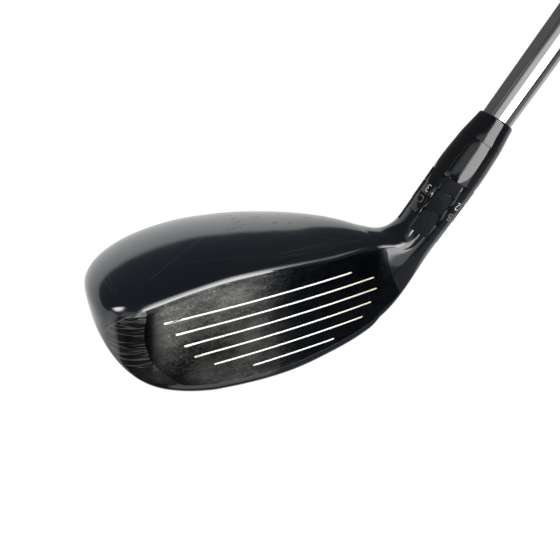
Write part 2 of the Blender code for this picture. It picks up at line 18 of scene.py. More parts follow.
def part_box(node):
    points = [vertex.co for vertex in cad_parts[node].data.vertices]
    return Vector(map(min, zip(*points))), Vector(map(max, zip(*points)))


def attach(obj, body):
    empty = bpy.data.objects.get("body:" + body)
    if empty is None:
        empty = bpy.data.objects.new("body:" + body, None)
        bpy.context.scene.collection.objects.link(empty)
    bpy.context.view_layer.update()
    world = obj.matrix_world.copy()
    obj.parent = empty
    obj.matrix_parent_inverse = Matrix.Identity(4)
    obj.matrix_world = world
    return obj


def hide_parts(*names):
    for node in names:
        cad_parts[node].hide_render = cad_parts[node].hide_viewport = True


MM = 0.001
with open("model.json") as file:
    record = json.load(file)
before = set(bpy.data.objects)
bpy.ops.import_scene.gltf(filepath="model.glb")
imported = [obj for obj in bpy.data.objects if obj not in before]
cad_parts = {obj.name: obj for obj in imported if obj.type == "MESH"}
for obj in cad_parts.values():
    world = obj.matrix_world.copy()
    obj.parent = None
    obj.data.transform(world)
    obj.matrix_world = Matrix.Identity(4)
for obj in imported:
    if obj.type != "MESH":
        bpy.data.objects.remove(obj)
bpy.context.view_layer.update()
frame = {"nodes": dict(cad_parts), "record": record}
joints = {j["name"]: j for j in frame["record"]["behaviour"]["joints"]}

# ---- where things are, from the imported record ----
LOFT = math.radians(19.7)
LIE = math.radians(58.3)
AXIS_X, AXIS_Y = 30.9, 9.4          # where the shaft's axis meets the ground
BOLT_POINT = 17.0                   # height of bolt_spin's point along the axis
AXIS_U = Vector(joints["bolt_spin"]["axis"]).normalized()
AXIS_FOOT = Vector(joints["bolt_spin"]["pos_m"]) - AXIS_U * BOLT_POINT * MM
HEAD = AXIS_FOOT - Vector((AXIS_X, AXIS_Y, 0)) * MM
PORT_OUT = Vector(joints["weight_out"]["axis"]).normalized()
PORT_POINT = Vector(joints["weight_spin"]["pos_m"])


def upright(foot, up):
    """A frame whose Z runs along up and whose Y is the world's, as far as it can be."""
    side = Vector((0, 1, 0)).cross(up).normalized()
    turn = Matrix((side, up.cross(side), up)).transposed().to_4x4()
    return Matrix.Translation(foot) @ turn


HEAD_AT = Matrix.Translation(HEAD)
AXIS_AT = upright(AXIS_FOOT, AXIS_U)
PORT_AT = upright(PORT_POINT, -PORT_OUT)

# ---- the head's lines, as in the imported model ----
FACE_CENTRE_Z, FACE_BULGE = 16.3, 495.0
FACE_UP = np.array([math.sin(LOFT), math.cos(LOFT)])       # (y, z) up the face
TOE_X, TOE_Y, TOE_Z = -52.7, 29.8, 21.5
HOSEL_R = 7.4
BEND_X, BEND_Z, BEND_R = 32.8, 44.9, 22.0
BEND_END = BEND_X + BEND_R * LIE
CROWN_RISE = math.radians(12.2)
SOLE_DROP = math.radians(-2.0)
TOPLINE_ROUND, LEADING_ROUND = 2.3, 2.6
MORPH_START = 28.0
# By sweep position: the topline and the leading edge, up the face from its middle; the rear's y
# and its rim's z; and how far the heel swells below the sole.
TOPLINE = ((-60, 15.4), (-38, 16.1), (-27, 17.5), (-16, 18.4), (-4, 18.2), (6, 17.5),
           (16, 16.7), (26, 16.4), (33, 16.0), (40, 15.6), (48, 11.0), (55.2, 11.0))
LEADING = ((-60, -14.0), (-35, -15.4), (-26, -15.6), (-17, -16.5), (-8, -17.1), (0, -17.1),
           (12, -15.8), (23, -13.9), (31, -11.6), (40, -7.9), (48, -4.2), (55.2, -0.6))
REAR = ((-60, 57.0), (-30, 60.2), (-10, 60.8), (8, 58.2), (22, 50.0), (33, 39.0),
        (42, 26.6), (55.2, 18.0))
RIM = ((-60, 20.1), (-30, 19.9), (-10, 18.9), (8, 17.7), (22, 18.7), (33, 20.1),
       (42, 22.9), (55.2, 22.9))
HEEL_SWELL = ((22, 0.0), (31, 1.6), (36, 4.6), (40, 5.6), (44, 4.0), (48.5, 1.8), (55.2, 0.0))
# Where each edge starts to close on the toe's point, and the power of its curve.
TOE_TOP, TOE_BOTTOM = (-33.6, 2.7), (-24.4, 1.45)
TOE_REAR, TOE_FRONT = (-11.6, 2.5), (-36.0, 3.0)

# ---- hosel, sleeve and shaft: heights along the axis and radii ----
SEAT, BORE_FLOOR, BORE_STEP = 20.0, 22.0, 34.0
TUBE_R, BORE_R, NOSE_BORE_R, RECESS_R, BOLT_HOLE_R = 7.25, 6.1, 4.6, 4.5, 2.8
TIP_FOOT, HOSEL_TOP, NOTCH = 36.8, 44.4, 2.8
RING_TOP, RING_SLOT = 51.1, 3.4
SLEEVE_TOP, COLLAR_TOP, FERRULE_TOP = 55.6, 68.6, 76.2
SLOT_WIDTH, LUG_WIDTH = 5.7, 5.2
MOUTH_ROUND, HOSEL_CHAMFER = 0.7, 0.1
RING_R, SPIGOT_R, SOCKET_R = 7.5, 5.8, 5.0
PIECE_GAP = 0.3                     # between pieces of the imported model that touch
SEAM = 0.12                         # here, between pieces that are pressed together
GLUE_LINE, LIP = 0.04, 0.5          # between glued pieces, and how far one reaches into the next
NOSE_FOOT, NOSE_R, THREAD_HOLE_R, SHAFT_FOOT = 24.0, 4.3, 2.75, 36.4
BOLT_R, BOLT_TIP, BOLT_HEAD, BOLT_HEAD_R, WASHER = 2.4, 33.0, 3.0, 3.9, 0.8
BOLT_PITCH, BOLT_THREAD, BOLT_GROOVE = 0.8, 0.35, (0.3, 0.4, 0.7)
BOLT_DRIVE, WEIGHT_DRIVE = (2.1, 1.9), (2.7, 2.3)       # the driver sockets' reach and depth
MARK_SIZE, MARK_RISE = 3.6, 0.03
SLEEVE_MARKS, RING_MARKS = (49.9, "2143"), (46.0, "BADC")   # height, and what reads round it
TIP_R, BUTT_R, SHAFT_WALL = 4.7, 7.62, 0.9
COLLAR_SPIGOT_R = 5.8               # of the collar's end, which the cap sits on
TAPER_START, TAPER_END = 230.0, 950.0
CLUB_LENGTH, GRIP_LENGTH, CAP, CAP_R = 1022.0, 265.0, 6.0, 13.3
GRIP_SIDES, GRIP_BORE_GAP, GRIP_LIP = 192, 1.0, 0.25
GRIP_PANELS = ((12.0, 118.0), (128.0, 236.0))       # where the lattice is, up from the mouth
GRIP_RINGS = (6.0, 123.0, 241.0, 246.0)
LATTICE_AROUND, LATTICE_PITCH, LATTICE_DEPTH, RING_DEPTH = 12, 5.2, 0.38, 0.4

# ---- weight port: depths into the head ----
PORT_R, PORT_DEPTH, THREAD_R, THREAD_DEPTH = 7.0, 4.6, 4.35, 10.0
BOSS_R, BOSS_DEPTH = 9.0, 11.5
WEIGHT_LOW, WEIGHT_HIGH, WEIGHT_HEAD_R = 0.5, 3.3, PORT_R - 0.4
WEIGHT_R, WEIGHT_PITCH, WEIGHT_THREAD, WEIGHT_GROOVE = 4.0, 1.25, 0.55, (0.45, 0.6, 1.05)


# ---- the head's surface ----
def clamp(value, low=0.0, high=1.0):
    return min(max(value, low), high)


def line(knots, x):
    """Smooth curve through the knots, with slopes that never overshoot by much."""
    places, values = np.array(knots, float).T
    steps = np.diff(places)
    rise = np.diff(values) / steps
    slopes = np.empty_like(values)
    slopes[1:-1] = (rise[:-1] * steps[1:] + rise[1:] * steps[:-1]) / (steps[1:] + steps[:-1])
    slopes[0], slopes[-1] = rise[0], rise[-1]
    x = clamp(x, places[0], places[-1])
    i = clamp(int(np.searchsorted(places, x)) - 1, 0, len(steps) - 1)
    t = (x - places[i]) / steps[i]
    return ((1 + 2 * t) * (1 - t) ** 2 * values[i] + t * (1 - t) ** 2 * steps[i] * slopes[i]
            + t * t * (3 - 2 * t) * values[i + 1] + t * t * (t - 1) * steps[i] * slopes[i + 1])


def smooth(t):
    t = clamp(t)
    return t * t * (3 - 2 * t)


def closing(x, toe, ending):
    """How open a section still is on its way to the toe: 1 in the body, 0 at the toe."""
    start, power = ending
    near = clamp((start - x) / (start - toe))
    return max(1 - near ** power, 0.0) ** (1 / power)


def bezier(a, b, c, d, t):
    return (1 - t) ** 3 * a + 3 * (1 - t) ** 2 * t * b + 3 * (1 - t) * t * t * c + t ** 3 * d


def corner(a, via, b):
    """The four points of a rounded corner's curve, or of a straight line if it has no via."""
    if via is None:
        return a, (2 * a + b) / 3, (a + 2 * b) / 3, b
    return a, a + 0.55 * (via - a), b + 0.55 * (via - b), b


def unit(angle):
    return np.array([math.cos(angle), math.sin(angle)])


def right(way):
    """A direction in (y, z), turned a quarter to the right."""
    return np.array([way[1], -way[0]])


def face_base(x):
    """(y, z) of the face's middle line, which bulges to the front."""
    return np.array([x * x / (2 * FACE_BULGE), FACE_CENTRE_Z])


def section(place, inset):
    """A function from band to (y, z) on one section: 0-1 up the face, 1-2 over the topline,
    2-3 back over the crown, 3-4 forward under the sole and 4-5 round the leading edge."""
    toe = TOE_X + inset
    x = min(place, BEND_X)
    rest = 1 - smooth((place - MORPH_START) / (BEND_END - MORPH_START))
    centre = np.array([TOE_Y, TOE_Z])
    top = face_base(x) + line(TOPLINE, place) * FACE_UP
    low = face_base(x) + line(LEADING, place) * FACE_UP
    rear = np.array([line(REAR, place) - inset, line(RIM, place)])
    along, under = unit(CROWN_RISE), unit(SOLE_DROP)
    into_face, into_crown, into_sole = right(FACE_UP), right(along), -right(under)
    top = top + inset * (into_face + into_crown) / (1 + into_face @ into_crown)
    low = low + inset * (into_face + into_sole) / (1 + into_face @ into_sole)
    front = closing(x, toe, TOE_FRONT)
    top = centre + (top - centre) * np.array([front, closing(x, toe, TOE_TOP)])
    low = centre + (low - centre) * np.array([front, closing(x, toe, TOE_BOTTOM)])
    rear = centre + (rear - centre) * closing(x, toe, TOE_REAR)
    height = float(np.linalg.norm(top - low))
    depth = max(rear[0] - top[0], 0.05)
    up = (top - low) / max(height, 1e-6)
    round_top = min(TOPLINE_ROUND, 0.3 * height, 0.3 * depth)
    round_low = min(LEADING_ROUND, 0.3 * height, 0.3 * depth)
    face_top, crown_front = top - up * round_top, top + along * round_top
    face_low, sole_front = low + up * round_low, low + under * round_low
    fall, drop = max(top[1] - rear[1], 0.02), abs(rear[1] - low[1])
    curves = (
        corner(face_low, None, face_top), corner(face_top, top, crown_front),
        (crown_front, crown_front + along * depth * 0.33, rear + np.array([0, 0.43 * fall]), rear),
        (rear, rear - np.array([0, 0.55 * drop]), sole_front + under * (rear[0] - low[0]) * 0.45,
         sole_front),
        corner(sole_front, low, face_low))
    swell = line(HEEL_SWELL, place)
    turns = (210, 150, 130, 0, -130, -150)      # where each band starts round the hosel
    ring_centre = np.array([AXIS_Y, BEND_Z - BEND_R])

    def at(band):
        arc, t = int(band) % 5, band - int(band)
        point = bezier(*curves[arc], t)
        if arc == 3:
            point[1] -= swell * math.sin(math.pi * t ** 1.5) ** 2
        angle = math.radians(turns[arc] + (turns[arc + 1] - turns[arc]) * t)
        ring = ring_centre + (HOSEL_R - inset) * unit(angle)
        return rest * point + (1 - rest) * ring

    return at


def head_ring(place, bands, inset=0.0):
    """Points of the head's skin at one sweep position, or of a surface inside it."""
    if place < BEND_X:
        span = BEND_X - TOE_X
        place = BEND_X - (BEND_X - place) * (span - inset) / span
    at = section(place, inset)
    turn = clamp((place - BEND_X) / BEND_R, high=LIE)
    beyond = max(place - BEND_END, 0.0)
    points = []
    for band in bands:
        y, z = at(band)
        reach = BEND_Z - z
        along = min(place, BEND_X) + reach * math.sin(turn) + beyond * math.cos(LIE)
        points.append((along, y, BEND_Z - reach * math.cos(turn) + beyond * math.sin(LIE)))
    return points


def face_point(x, up, inset):
    """A point on the face's cylinder: x across, up the face from its centre, inset into it."""
    return (x, *(face_base(x) + up * FACE_UP + inset * right(FACE_UP)))


def spread(low, high, count):
    return list(np.linspace(low, high, count))


# ---- mesh helpers ----
CREASE, EASED_EDGE = 32.0, 40.0      # degrees: edges shaded sharp, and edges given a chamfer
WIDE_R = 14.0                        # clear of the hosel: how far out its tools reach


def linked(name, data):
    """A new object in the scene."""
    made = bpy.data.objects.new(name, data)
    bpy.context.collection.objects.link(made)
    return made


def mesh_object(name, bm, materials, at=HEAD_AT):
    """Turn a bmesh drawn in millimetres into an object in the given frame."""
    bmesh.ops.recalc_face_normals(bm, faces=bm.faces)
    bmesh.ops.scale(bm, vec=(MM, MM, MM), verts=bm.verts)
    mesh = bpy.data.meshes.new(name)
    bm.to_mesh(mesh)
    bm.free()
    mesh.shade_smooth()
    mesh.set_sharp_from_angle(angle=math.radians(CREASE))
    for made in materials:
        mesh.materials.append(made)
    piece = linked(name, mesh)
    piece.matrix_world = at
    return piece


def evaluated_mesh(piece):
    return bpy.data.meshes.new_from_object(piece.evaluated_get(bpy.context.evaluated_depsgraph_get()))


def boolean(piece, tool, operation="DIFFERENCE"):
    """Cut a piece with a tool, or join them, and drop the tool."""
    step = piece.modifiers.new("cut", "BOOLEAN")
    step.operation = operation
    step.object = tool
    step.material_mode = "TRANSFER"
    mesh = evaluated_mesh(piece)
    mesh.set_sharp_from_angle(angle=math.radians(CREASE))
    piece.modifiers.clear()
    piece.data = mesh
    bpy.data.objects.remove(tool, do_unlink=True)


def chamfer(piece, above=0.0):
    """Ease a hosel piece's sharp edges, where they are above a height along the axis."""
    bm = bmesh.new()
    bm.from_mesh(piece.data)
    bmesh.ops.dissolve_degenerate(bm, edges=bm.edges, dist=0.004 * MM)
    sharp = [e for e in bm.edges if len(e.link_faces) == 2 and min(v.co.z for v in e.verts) > above * MM
             and e.calc_face_angle() > math.radians(EASED_EDGE)]
    bmesh.ops.bevel(bm, geom=sharp, offset=HOSEL_CHAMFER * MM, offset_type="OFFSET", segments=2,
                    profile=0.5, affect="EDGES", clamp_overlap=True, material=-1)
    bm.to_mesh(piece.data)
    bm.free()
    piece.data.shade_smooth()
    piece.data.set_sharp_from_angle(angle=math.radians(CREASE))


def finished(piece, body, slot, *nodes):
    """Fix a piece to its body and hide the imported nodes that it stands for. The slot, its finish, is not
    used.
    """
    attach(piece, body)
    if nodes:
        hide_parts(*nodes)


def closed_grid(bm, rings, capped=True):
    """Join closed rings of points in turn, with a cap at each end, or back to the first ring."""
    loops = [[bm.verts.new(p) for p in ring] for ring in rings]
    count = len(rings[0])
    for ring, following in zip(loops, loops[1:] if capped else loops[1:] + loops[:1]):
        for j in range(count):
            n = (j + 1) % count
            bm.faces.new((ring[j], ring[n], following[n], following[j]))
    if capped:
        bm.faces.new(loops[0])
        bm.faces.new(loops[-1])


def swept(name, rings, materials=(), at=HEAD_AT, **more):
    """An object over closed rings of points."""
    bm = bmesh.new()
    closed_grid(bm, rings, **more)
    return mesh_object(name, bm, materials, at)


def slab(bm, outer, inner):
    """A closed sheet between two matching grids of points."""
    rows, cols = len(outer), len(outer[0])
    skins = [[[bm.verts.new(p) for p in row] for row in grid] for grid in (outer, inner)]
    for skin in skins:
        for i in range(rows - 1):
            for j in range(cols - 1):
                bm.faces.new((skin[i][j], skin[i][j + 1], skin[i + 1][j + 1], skin[i + 1][j]))
    rim = [(0, j) for j in range(cols)] + [(i, cols - 1) for i in range(1, rows)]
    rim += [(rows - 1, j) for j in range(cols - 2, -1, -1)] + [(i, 0) for i in range(rows - 2, 0, -1)]
    for (i, j), (k, n) in zip(rim, rim[1:] + rim[:1]):
        bm.faces.new((skins[0][i][j], skins[0][k][n], skins[1][k][n], skins[1][i][j]))


def eased(outline, rounding=0.0):
    """Round the corners of a closed (radius, height) outline. A point's third value overrides
    its rounding, and points on the axis stay sharp."""
    result = []
    steps = 3
    corners = [np.array(point[:2], float) for point in outline]
    for i, (point, here) in enumerate(zip(outline, corners)):
        before, after = corners[i - 1], corners[(i + 1) % len(corners)]
        size = point[2] if len(point) > 2 else rounding
        if size <= 0 or here[0] < 1e-6:
            result.append(tuple(here))
            continue
        back, ahead = before - here, after - here
        size = min(size, 0.45 * np.linalg.norm(back), 0.45 * np.linalg.norm(ahead))
        a = here + size * back / np.linalg.norm(back)
        b = here + size * ahead / np.linalg.norm(ahead)
        for k in range(steps + 1):
            t = k / steps
            result.append(tuple((1 - t) ** 2 * a + 2 * t * (1 - t) * here + t * t * b))
    return result


def turned(name, outline, materials, at=AXIS_AT, sides=128, half=False):
    """Spin an outline of (radius, height) points round Z; one off the axis closes on itself. A
    tool turned by half a side keeps its edges off those of the piece that it cuts."""
    bm = bmesh.new()
    verts = [bm.verts.new((r, 0, z)) for r, z in outline]
    for a, b in zip(verts, verts[1:]):
        bm.edges.new((a, b))
    if outline[0][0] > 0:
        bm.edges.new((verts[-1], verts[0]))
    if half:
        bmesh.ops.rotate(bm, verts=bm.verts, cent=(0, 0, 0),
                         matrix=Matrix.Rotation(math.pi / sides, 3, "Z"))
    bmesh.ops.spin(bm, geom=bm.verts[:] + bm.edges[:], cent=(0, 0, 0), axis=(0, 0, 1),
                   angle=2 * math.pi, steps=sides, use_merge=True)
    bmesh.ops.remove_doubles(bm, verts=bm.verts, dist=0.0001)
    return mesh_object(name, bm, materials, at)


def tube(r_in, r_out, low, high):
    return [(r_in, low), (r_out, low), (r_out, high), (r_in, high)]


def rod(radius, low, high):
    return [(0, low), (radius, low), (radius, high), (0, high)]


def around(radius, turn, height):
    return (radius * math.cos(turn), radius * math.sin(turn), height)


def spokes(sides):
    """Angles evenly spread round a turn."""
    return [2 * math.pi * i / sides for i in range(sides)]


def cross(name, levels, reach=WIDE_R):
    """Two bars crossed at right angles, through (height, width) levels: the tool for four
    slots, or for four lugs."""
    rings = []
    for height, width in levels:
        half = width / 2
        corners = [(half, half), (half, reach), (-half, reach), (-half, half), (-reach, half),
                   (-reach, -half), (-half, -half), (-half, -reach), (half, -reach), (half, -half),
                   (reach, -half), (reach, half)]
        rings.append([(x, y, height) for x, y in corners])
    return swept(name, rings, at=AXIS_AT)


def slots(name, foot, mouth):
    """The tool for four slots whose mouths are rounded."""
    w, r = SLOT_WIDTH, MOUTH_ROUND
    flare = [(mouth - r, w), (mouth - 0.62 * r, w + 0.16 * r), (mouth - 0.29 * r, w + 0.58 * r),
             (mouth - 0.07 * r, w + 1.26 * r), (mouth + 0.02, w + 2 * r), (mouth + 4.0, w + 2 * r)]
    return cross(name, [(foot, w)] + flare)


# ---- materials ----
class Nodes:
    """A node tree in the making. What its methods take is a plain value or a node's socket."""

    def __init__(self, tree):
        self.tree = tree

    def put(self, socket, value):
        if isinstance(value, bpy.types.NodeSocket):
            self.tree.links.new(value, socket)
        else:
            socket.default_value = value

    def add(self, kind, inputs=None, **settings):
        """A node with its settings and its inputs."""
        made = self.tree.nodes.new(kind)
        for key, value in settings.items():
            setattr(made, key, value)
        for key, value in (inputs or {}).items():
            self.put(made.inputs[key], value)
        return made

    def maths(self, operation, a, b=0.0):
        return self.add("ShaderNodeMath", {0: a, 1: b}, operation=operation).outputs[0]

    def times(self, first, *others):
        for other in others:
            first = self.maths("MULTIPLY", first, other)
        return first

    def plus(self, first, *others):
        for other in others:
            first = self.maths("ADD", first, other)
        return first

    def minus(self, a, b):
        return self.maths("SUBTRACT", a, b)

    def size(self, value):
        return self.maths("ABSOLUTE", value)

    def measure(self, operation, a, b=(0, 0, 0)):
        """One number from two vectors."""
        return self.add("ShaderNodeVectorMath", {0: a, 1: b}, operation=operation).outputs["Value"]

    def split(self, vector):
        """The three parts of a vector."""
        return self.add("ShaderNodeSeparateXYZ", {0: vector}).outputs

    def remap(self, value, low, high, to_low=0.0, to_high=1.0):
        """Map low..high smoothly to to_low..to_high."""
        return self.add("ShaderNodeMapRange", {0: value, 1: low, 2: high, 3: to_low, 4: to_high},
                        interpolation_type="SMOOTHSTEP").outputs[0]

    def mix(self, factor, a, b):
        """Colour a where the factor is 0, and b where it is 1."""
        made = self.add("ShaderNodeMix", {0: factor}, data_type="RGBA")
        for index, colour in ((6, a), (7, b)):
            plain = not isinstance(colour, bpy.types.NodeSocket)
            self.put(made.inputs[index], (*colour, 1.0) if plain else colour)
        return made.outputs[2]


class Stuff(Nodes):
    """A Principled material, marked in the coordinates of the piece that wears it."""

    def __init__(self, name, colour, roughness, metallic=0.0, **more):
        self.made = bpy.data.materials.new(name)
        self.made.use_nodes = True
        super().__init__(self.made.node_tree)
        self.shader = self.tree.nodes["Principled BSDF"]
        self.feed(Base_Color=(*colour, 1.0), Roughness=roughness, Metallic=metallic, **more)
        self.place = self.add("ShaderNodeTexCoord").outputs["Object"]

    def feed(self, **inputs):
        """Set the shader's inputs, written with _ for the spaces in their names."""
        for key, value in inputs.items():
            self.put(self.shader.inputs[key.replace("_", " ")], value)

    def noise(self, scale, detail=3.0, roughness=0.5, distortion=0.0, turn=(0, 0, 0), place=None):
        """Noise over the piece. A scale of three values stretches it, in turned directions."""
        place = place or self.place
        if isinstance(scale, tuple):
            place = self.add("ShaderNodeMapping",
                             {"Vector": place, "Scale": scale, "Rotation": turn}).outputs[0]
            scale = 1.0
        return self.add("ShaderNodeTexNoise",
                        {"Vector": place, "Scale": scale, "Detail": detail, "Roughness": roughness,
                         "Distortion": distortion}).outputs[0]

    def bump(self, height, strength, distance, coat=False):
        made = self.add("ShaderNodeBump", {"Height": height, "Strength": strength, "Distance": distance})
        self.feed(Normal=made.outputs[0])
        if coat:
            self.feed(Coat_Normal=made.outputs[0])

    def finish(self, cloud, dark, light, grain, smooth, rough, *relief):
        """Colour between two by the cloud; roughness between two and relief by the grain."""
        self.feed(Base_Color=self.mix(cloud, dark, light),
                  Roughness=self.remap(grain, 0.3, 0.7, smooth, rough))
        self.bump(grain, *relief)
        return self.made

    def near(self, centre, radius):
        """1 at a point of the piece, given in millimetres, fading to 0 at the radius."""
        away = self.measure("DISTANCE", self.place, Vector(centre) * MM)
        return self.remap(away, 0.25 * radius * MM, radius * MM, 1.0, 0.0)

    def scratch(self, start, end, thin):
        """One straight scratch seen from above, between two (x, y) points in millimetres."""
        a, b = (Vector((*point, 0)) * MM for point in (start, end))
        turn, half = (0, 0, math.atan2(b.y - a.y, b.x - a.x)), (b - a).length / 2
        from_middle = self.add("ShaderNodeMapping", {"Vector": self.place, "Location": (a + b) / 2,
                                                     "Rotation": turn}, vector_type="TEXTURE")
        along, across, _ = self.split(from_middle.outputs[0])
        return self.times(self.remap(self.size(across), 0.0, thin * MM, 1.0, 0.0),
                          self.remap(self.size(along), 0.8 * half, half, 1.0, 0.0))


# Scratches on the crown: start and end in the head's plan, half width and strength.
SCRATCHES = (
    ((-14.4, 29.2), (-36.6, 14.7), 0.34, 0.22), ((-30.9, 19.1), (-4.2, 11.2), 0.2, 0.12),
    ((-47.3, 25.8), (-45.7, 16.4), 0.2, 0.2), ((-45.5, 27.7), (-45.0, 13.0), 0.16, 0.16),
    ((0.7, 11.0), (18.4, 12.0), 0.2, 0.24), ((3.2, 9.4), (19.1, 9.2), 0.16, 0.2),
    ((16.8, 15.8), (28.9, 8.6), 0.16, 0.2), ((-12.0, 15.5), (9.0, 12.6), 0.14, 0.14),
    ((6.0, 40.0), (21.0, 29.0), 0.16, 0.2), ((-30.0, 44.0), (-21.0, 52.0), 0.14, 0.2),
)
SCRATCH_FOOT = 19.0                  # scratches fade out below the crown, down to this height
TOPLINE_WEAR = ((10.0, 10.0, 33.0), 22.0)       # centre and radius of the fine wear there
SCUFFS = ((8.0, 43.0, 28.0), 30.0)              # and of the scuffs on the crown
PAINT_EDGE, EDGE_LEAN = 24.9, 0.6    # the paint's edge on the toe: y + lean * z is this
PLATED_END = -38.0                   # the plated strip lies on the toe side of this x
RIPPLE_FOOT = 12.5                   # its ripples fade out down to this height


def paint_material():
    """Gloss black lacquer: polished, faintly rippled, with fine scratches and a few scuffs. In front
    of the paint's edge on the toe the same black is plated metal with drawn ripples, whose light
    streaks are partly a painted highlight."""
    dark = (0.003, 0.0038, 0.0055)
    m = Stuff("gloss_black_paint", dark, 0.16, Coat_Weight=1.0, Coat_Roughness=0.025,
              Coat_IOR=1.5, Specular_IOR_Level=0.3)
    side, back, up = m.split(m.place)
    worn = 0.0
    for start, end, thin, strength in SCRATCHES:
        worn = m.maths("MAXIMUM", worn, m.times(m.scratch(start, end, thin), strength))
    worn = m.times(worn, m.remap(up, SCRATCH_FOOT * MM, (SCRATCH_FOOT + 2.0) * MM))
    hair = m.noise((60, 2400, 400), 2.0, turn=(0.0, 0.0, 0.12))
    worn = m.maths("MAXIMUM", worn, m.times(m.near(*TOPLINE_WEAR), m.remap(hair, 0.56, 0.74, 0.0, 0.12)))
    fleck = m.noise((230, 560, 560), 5.0, 0.65, turn=(0.0, 0.0, -0.3))
    scuff = m.times(m.near(*SCUFFS), m.remap(fleck, 0.55, 0.62),
                    m.remap(m.noise(130.0, 2.0), 0.4, 0.55, 0.15, 1.0))
    edge = m.plus(back, m.times(up, EDGE_LEAN))
    plated = m.times(m.remap(edge, (PAINT_EDGE + 0.05) * MM, (PAINT_EDGE - 0.15) * MM),
                     m.remap(side, PLATED_END * MM, (PLATED_END - 1.0) * MM))
    # the drawn ripples' relief, and the painted highlight of their light streaks
    ripple_and_sheen = m.noise((110, 110, 1950), 2.0, 0.5, 0.8, (0.0, 0.35, 0.0))
    drawn = m.times(plated, m.remap(up, RIPPLE_FOOT * MM, (RIPPLE_FOOT + 4.5) * MM))
    off_edge = m.size(m.minus(edge, PAINT_EDGE * MM))
    rim = m.times(m.remap(off_edge, 0.05 * MM, 0.2 * MM, 0.8, 0.0),
                  m.remap(side, (PLATED_END - 4.0) * MM, (PLATED_END - 5.5) * MM))
    base = dark
    for mask, colour in ((worn, (0.075, 0.078, 0.082)), (scuff, (0.012, 0.012, 0.012)),
                         (plated, (0.0012, 0.0013, 0.0016)),
                         # painted highlight: the lighter colour along the ripples
                         (m.times(drawn, m.remap(ripple_and_sheen, 0.5, 0.62)), (0.036, 0.036, 0.0345)),
                         (rim, (0.09, 0.088, 0.08))):
        base = m.mix(mask, base, colour)
    rough = m.plus(m.remap(m.noise(60.0, 4.0, 0.6), 0.35, 0.7, 0.13, 0.2),
                   m.times(m.maths("MAXIMUM", worn, scuff), 0.35))
    m.feed(Base_Color=base, Roughness=rough, Coat_Weight=m.remap(scuff, 0.0, 1.0, 1.0, 0.55))
    height = m.plus(m.times(m.noise(240.0, 2.0), 0.12), m.times(ripple_and_sheen, drawn, 0.7))
    m.bump(m.minus(height, m.times(plated, 0.35)), 0.35, 0.0002, coat=True)
    return m.made


def face_material():
    """Dark plated steel with a fine sandy grain, brushed a little and marbled by ball marks. Painted
    shade makes it bluer and darker towards the heel, and nearly black along the toe's edge."""
    m = Stuff("brushed_dark_steel", (0.06, 0.061, 0.059), 0.19, 1.0)
    grain = m.noise((420, 2300, 2300), 3.0, 0.6)
    cloud = m.noise((130, 230, 230), 6.0, 0.68)
    sand = m.noise(1500.0, 3.0, 0.65)
    tone = m.plus(m.times(cloud, 0.5), m.times(grain, 0.2), m.times(sand, 0.3))
    light = m.remap(tone, 0.42, 0.58)
    colour = m.mix(light, (0.026, 0.0275, 0.0268), (0.066, 0.067, 0.062))
    colour = m.mix(m.remap(sand, 0.62, 0.72), colour, (0.12, 0.12, 0.108))
    side, _, up = m.split(m.place)
    # painted shade: the face's colour turns darker and bluer towards the heel
    heel = m.mix(light, (0.012, 0.0145, 0.019), (0.026, 0.029, 0.034))
    colour = m.mix(m.remap(side, -8.0 * MM, 4.0 * MM), colour, heel)
    # painted shade: the face's colour fades nearly to black along the toe's edge, which slants out lower down
    low = m.maths("MAXIMUM", m.minus(14.0 * MM, up), 0.0)
    from_toe = m.plus(m.minus(side, m.times(low, 0.9)), m.times(cloud, 2.0 * MM))
    toe = m.remap(from_toe, -39.0 * MM, -32.0 * MM, 1.0, 0.0)
    m.feed(Base_Color=m.mix(toe, colour, (0.011, 0.0115, 0.012)),
           Roughness=m.remap(sand, 0.3, 0.7, 0.14, 0.21))
    m.bump(tone, 0.15, 0.0001)
    return m.made


def score_material():
    """Bare bright metal and old white paint left in the score lines, browner at the heel and
    with more dirt at the toe."""
    m = Stuff("score_line_fill", (0.9, 0.9, 0.86), 0.5)
    dirt = m.noise((260, 900, 900), 4.0, 0.65)
    side = m.split(m.place)[0]
    clean = m.mix(m.remap(side, 8 * MM, 34 * MM), (0.8, 0.8, 0.77), (0.55, 0.5, 0.38))
    more = m.plus(dirt, m.remap(side, -18 * MM, -33 * MM, 0.0, 0.11))
    m.feed(Base_Color=m.mix(m.remap(more, 0.64, 0.7), clean, (0.1, 0.1, 0.09)))
    m.bump(dirt, 0.3, 0.0001)
    return m.made


def anodised_material():
    """Satin black pads: bead-blasted and anodised."""
    m = Stuff("dark_anodised", (0.006, 0.007, 0.009), 0.62, Specular_IOR_Level=0.07)
    cloud = m.remap(m.noise(320.0, 3.0), 0.35, 0.65)
    return m.finish(cloud, (0.005, 0.006, 0.008), (0.008, 0.009, 0.0112),
                    m.noise(2600.0, 3.0, 0.6), 0.55, 0.66, 0.12, 0.00004)


def plastic_material():
    """Polished black plastic with hair-fine turning marks."""
    black = (0.002, 0.0022, 0.003)
    m = Stuff("polished_black_plastic", black, 0.06, Coat_Weight=0.5, Coat_Roughness=0.02)
    fleck = m.remap(m.noise(900.0, 4.0, 0.7), 0.62, 0.8)
    return m.finish(fleck, black, (0.012, 0.012, 0.013),
                    m.noise((60, 60, 5200), 2.0), 0.04, 0.09, 0.03, 0.00004)


def chrome_material():
    """Plated steel, polished along the shaft."""
    m = Stuff("polished_chrome", (0.62, 0.62, 0.605), 0.05, 1.0)
    cloud = m.remap(m.noise(30.0, 4.0, 0.6), 0.35, 0.7)
    return m.finish(cloud, (0.64, 0.64, 0.625), (0.57, 0.57, 0.555),
                    m.noise((2600, 2600, 30), 3.0), 0.035, 0.08, 0.03, 0.00003)


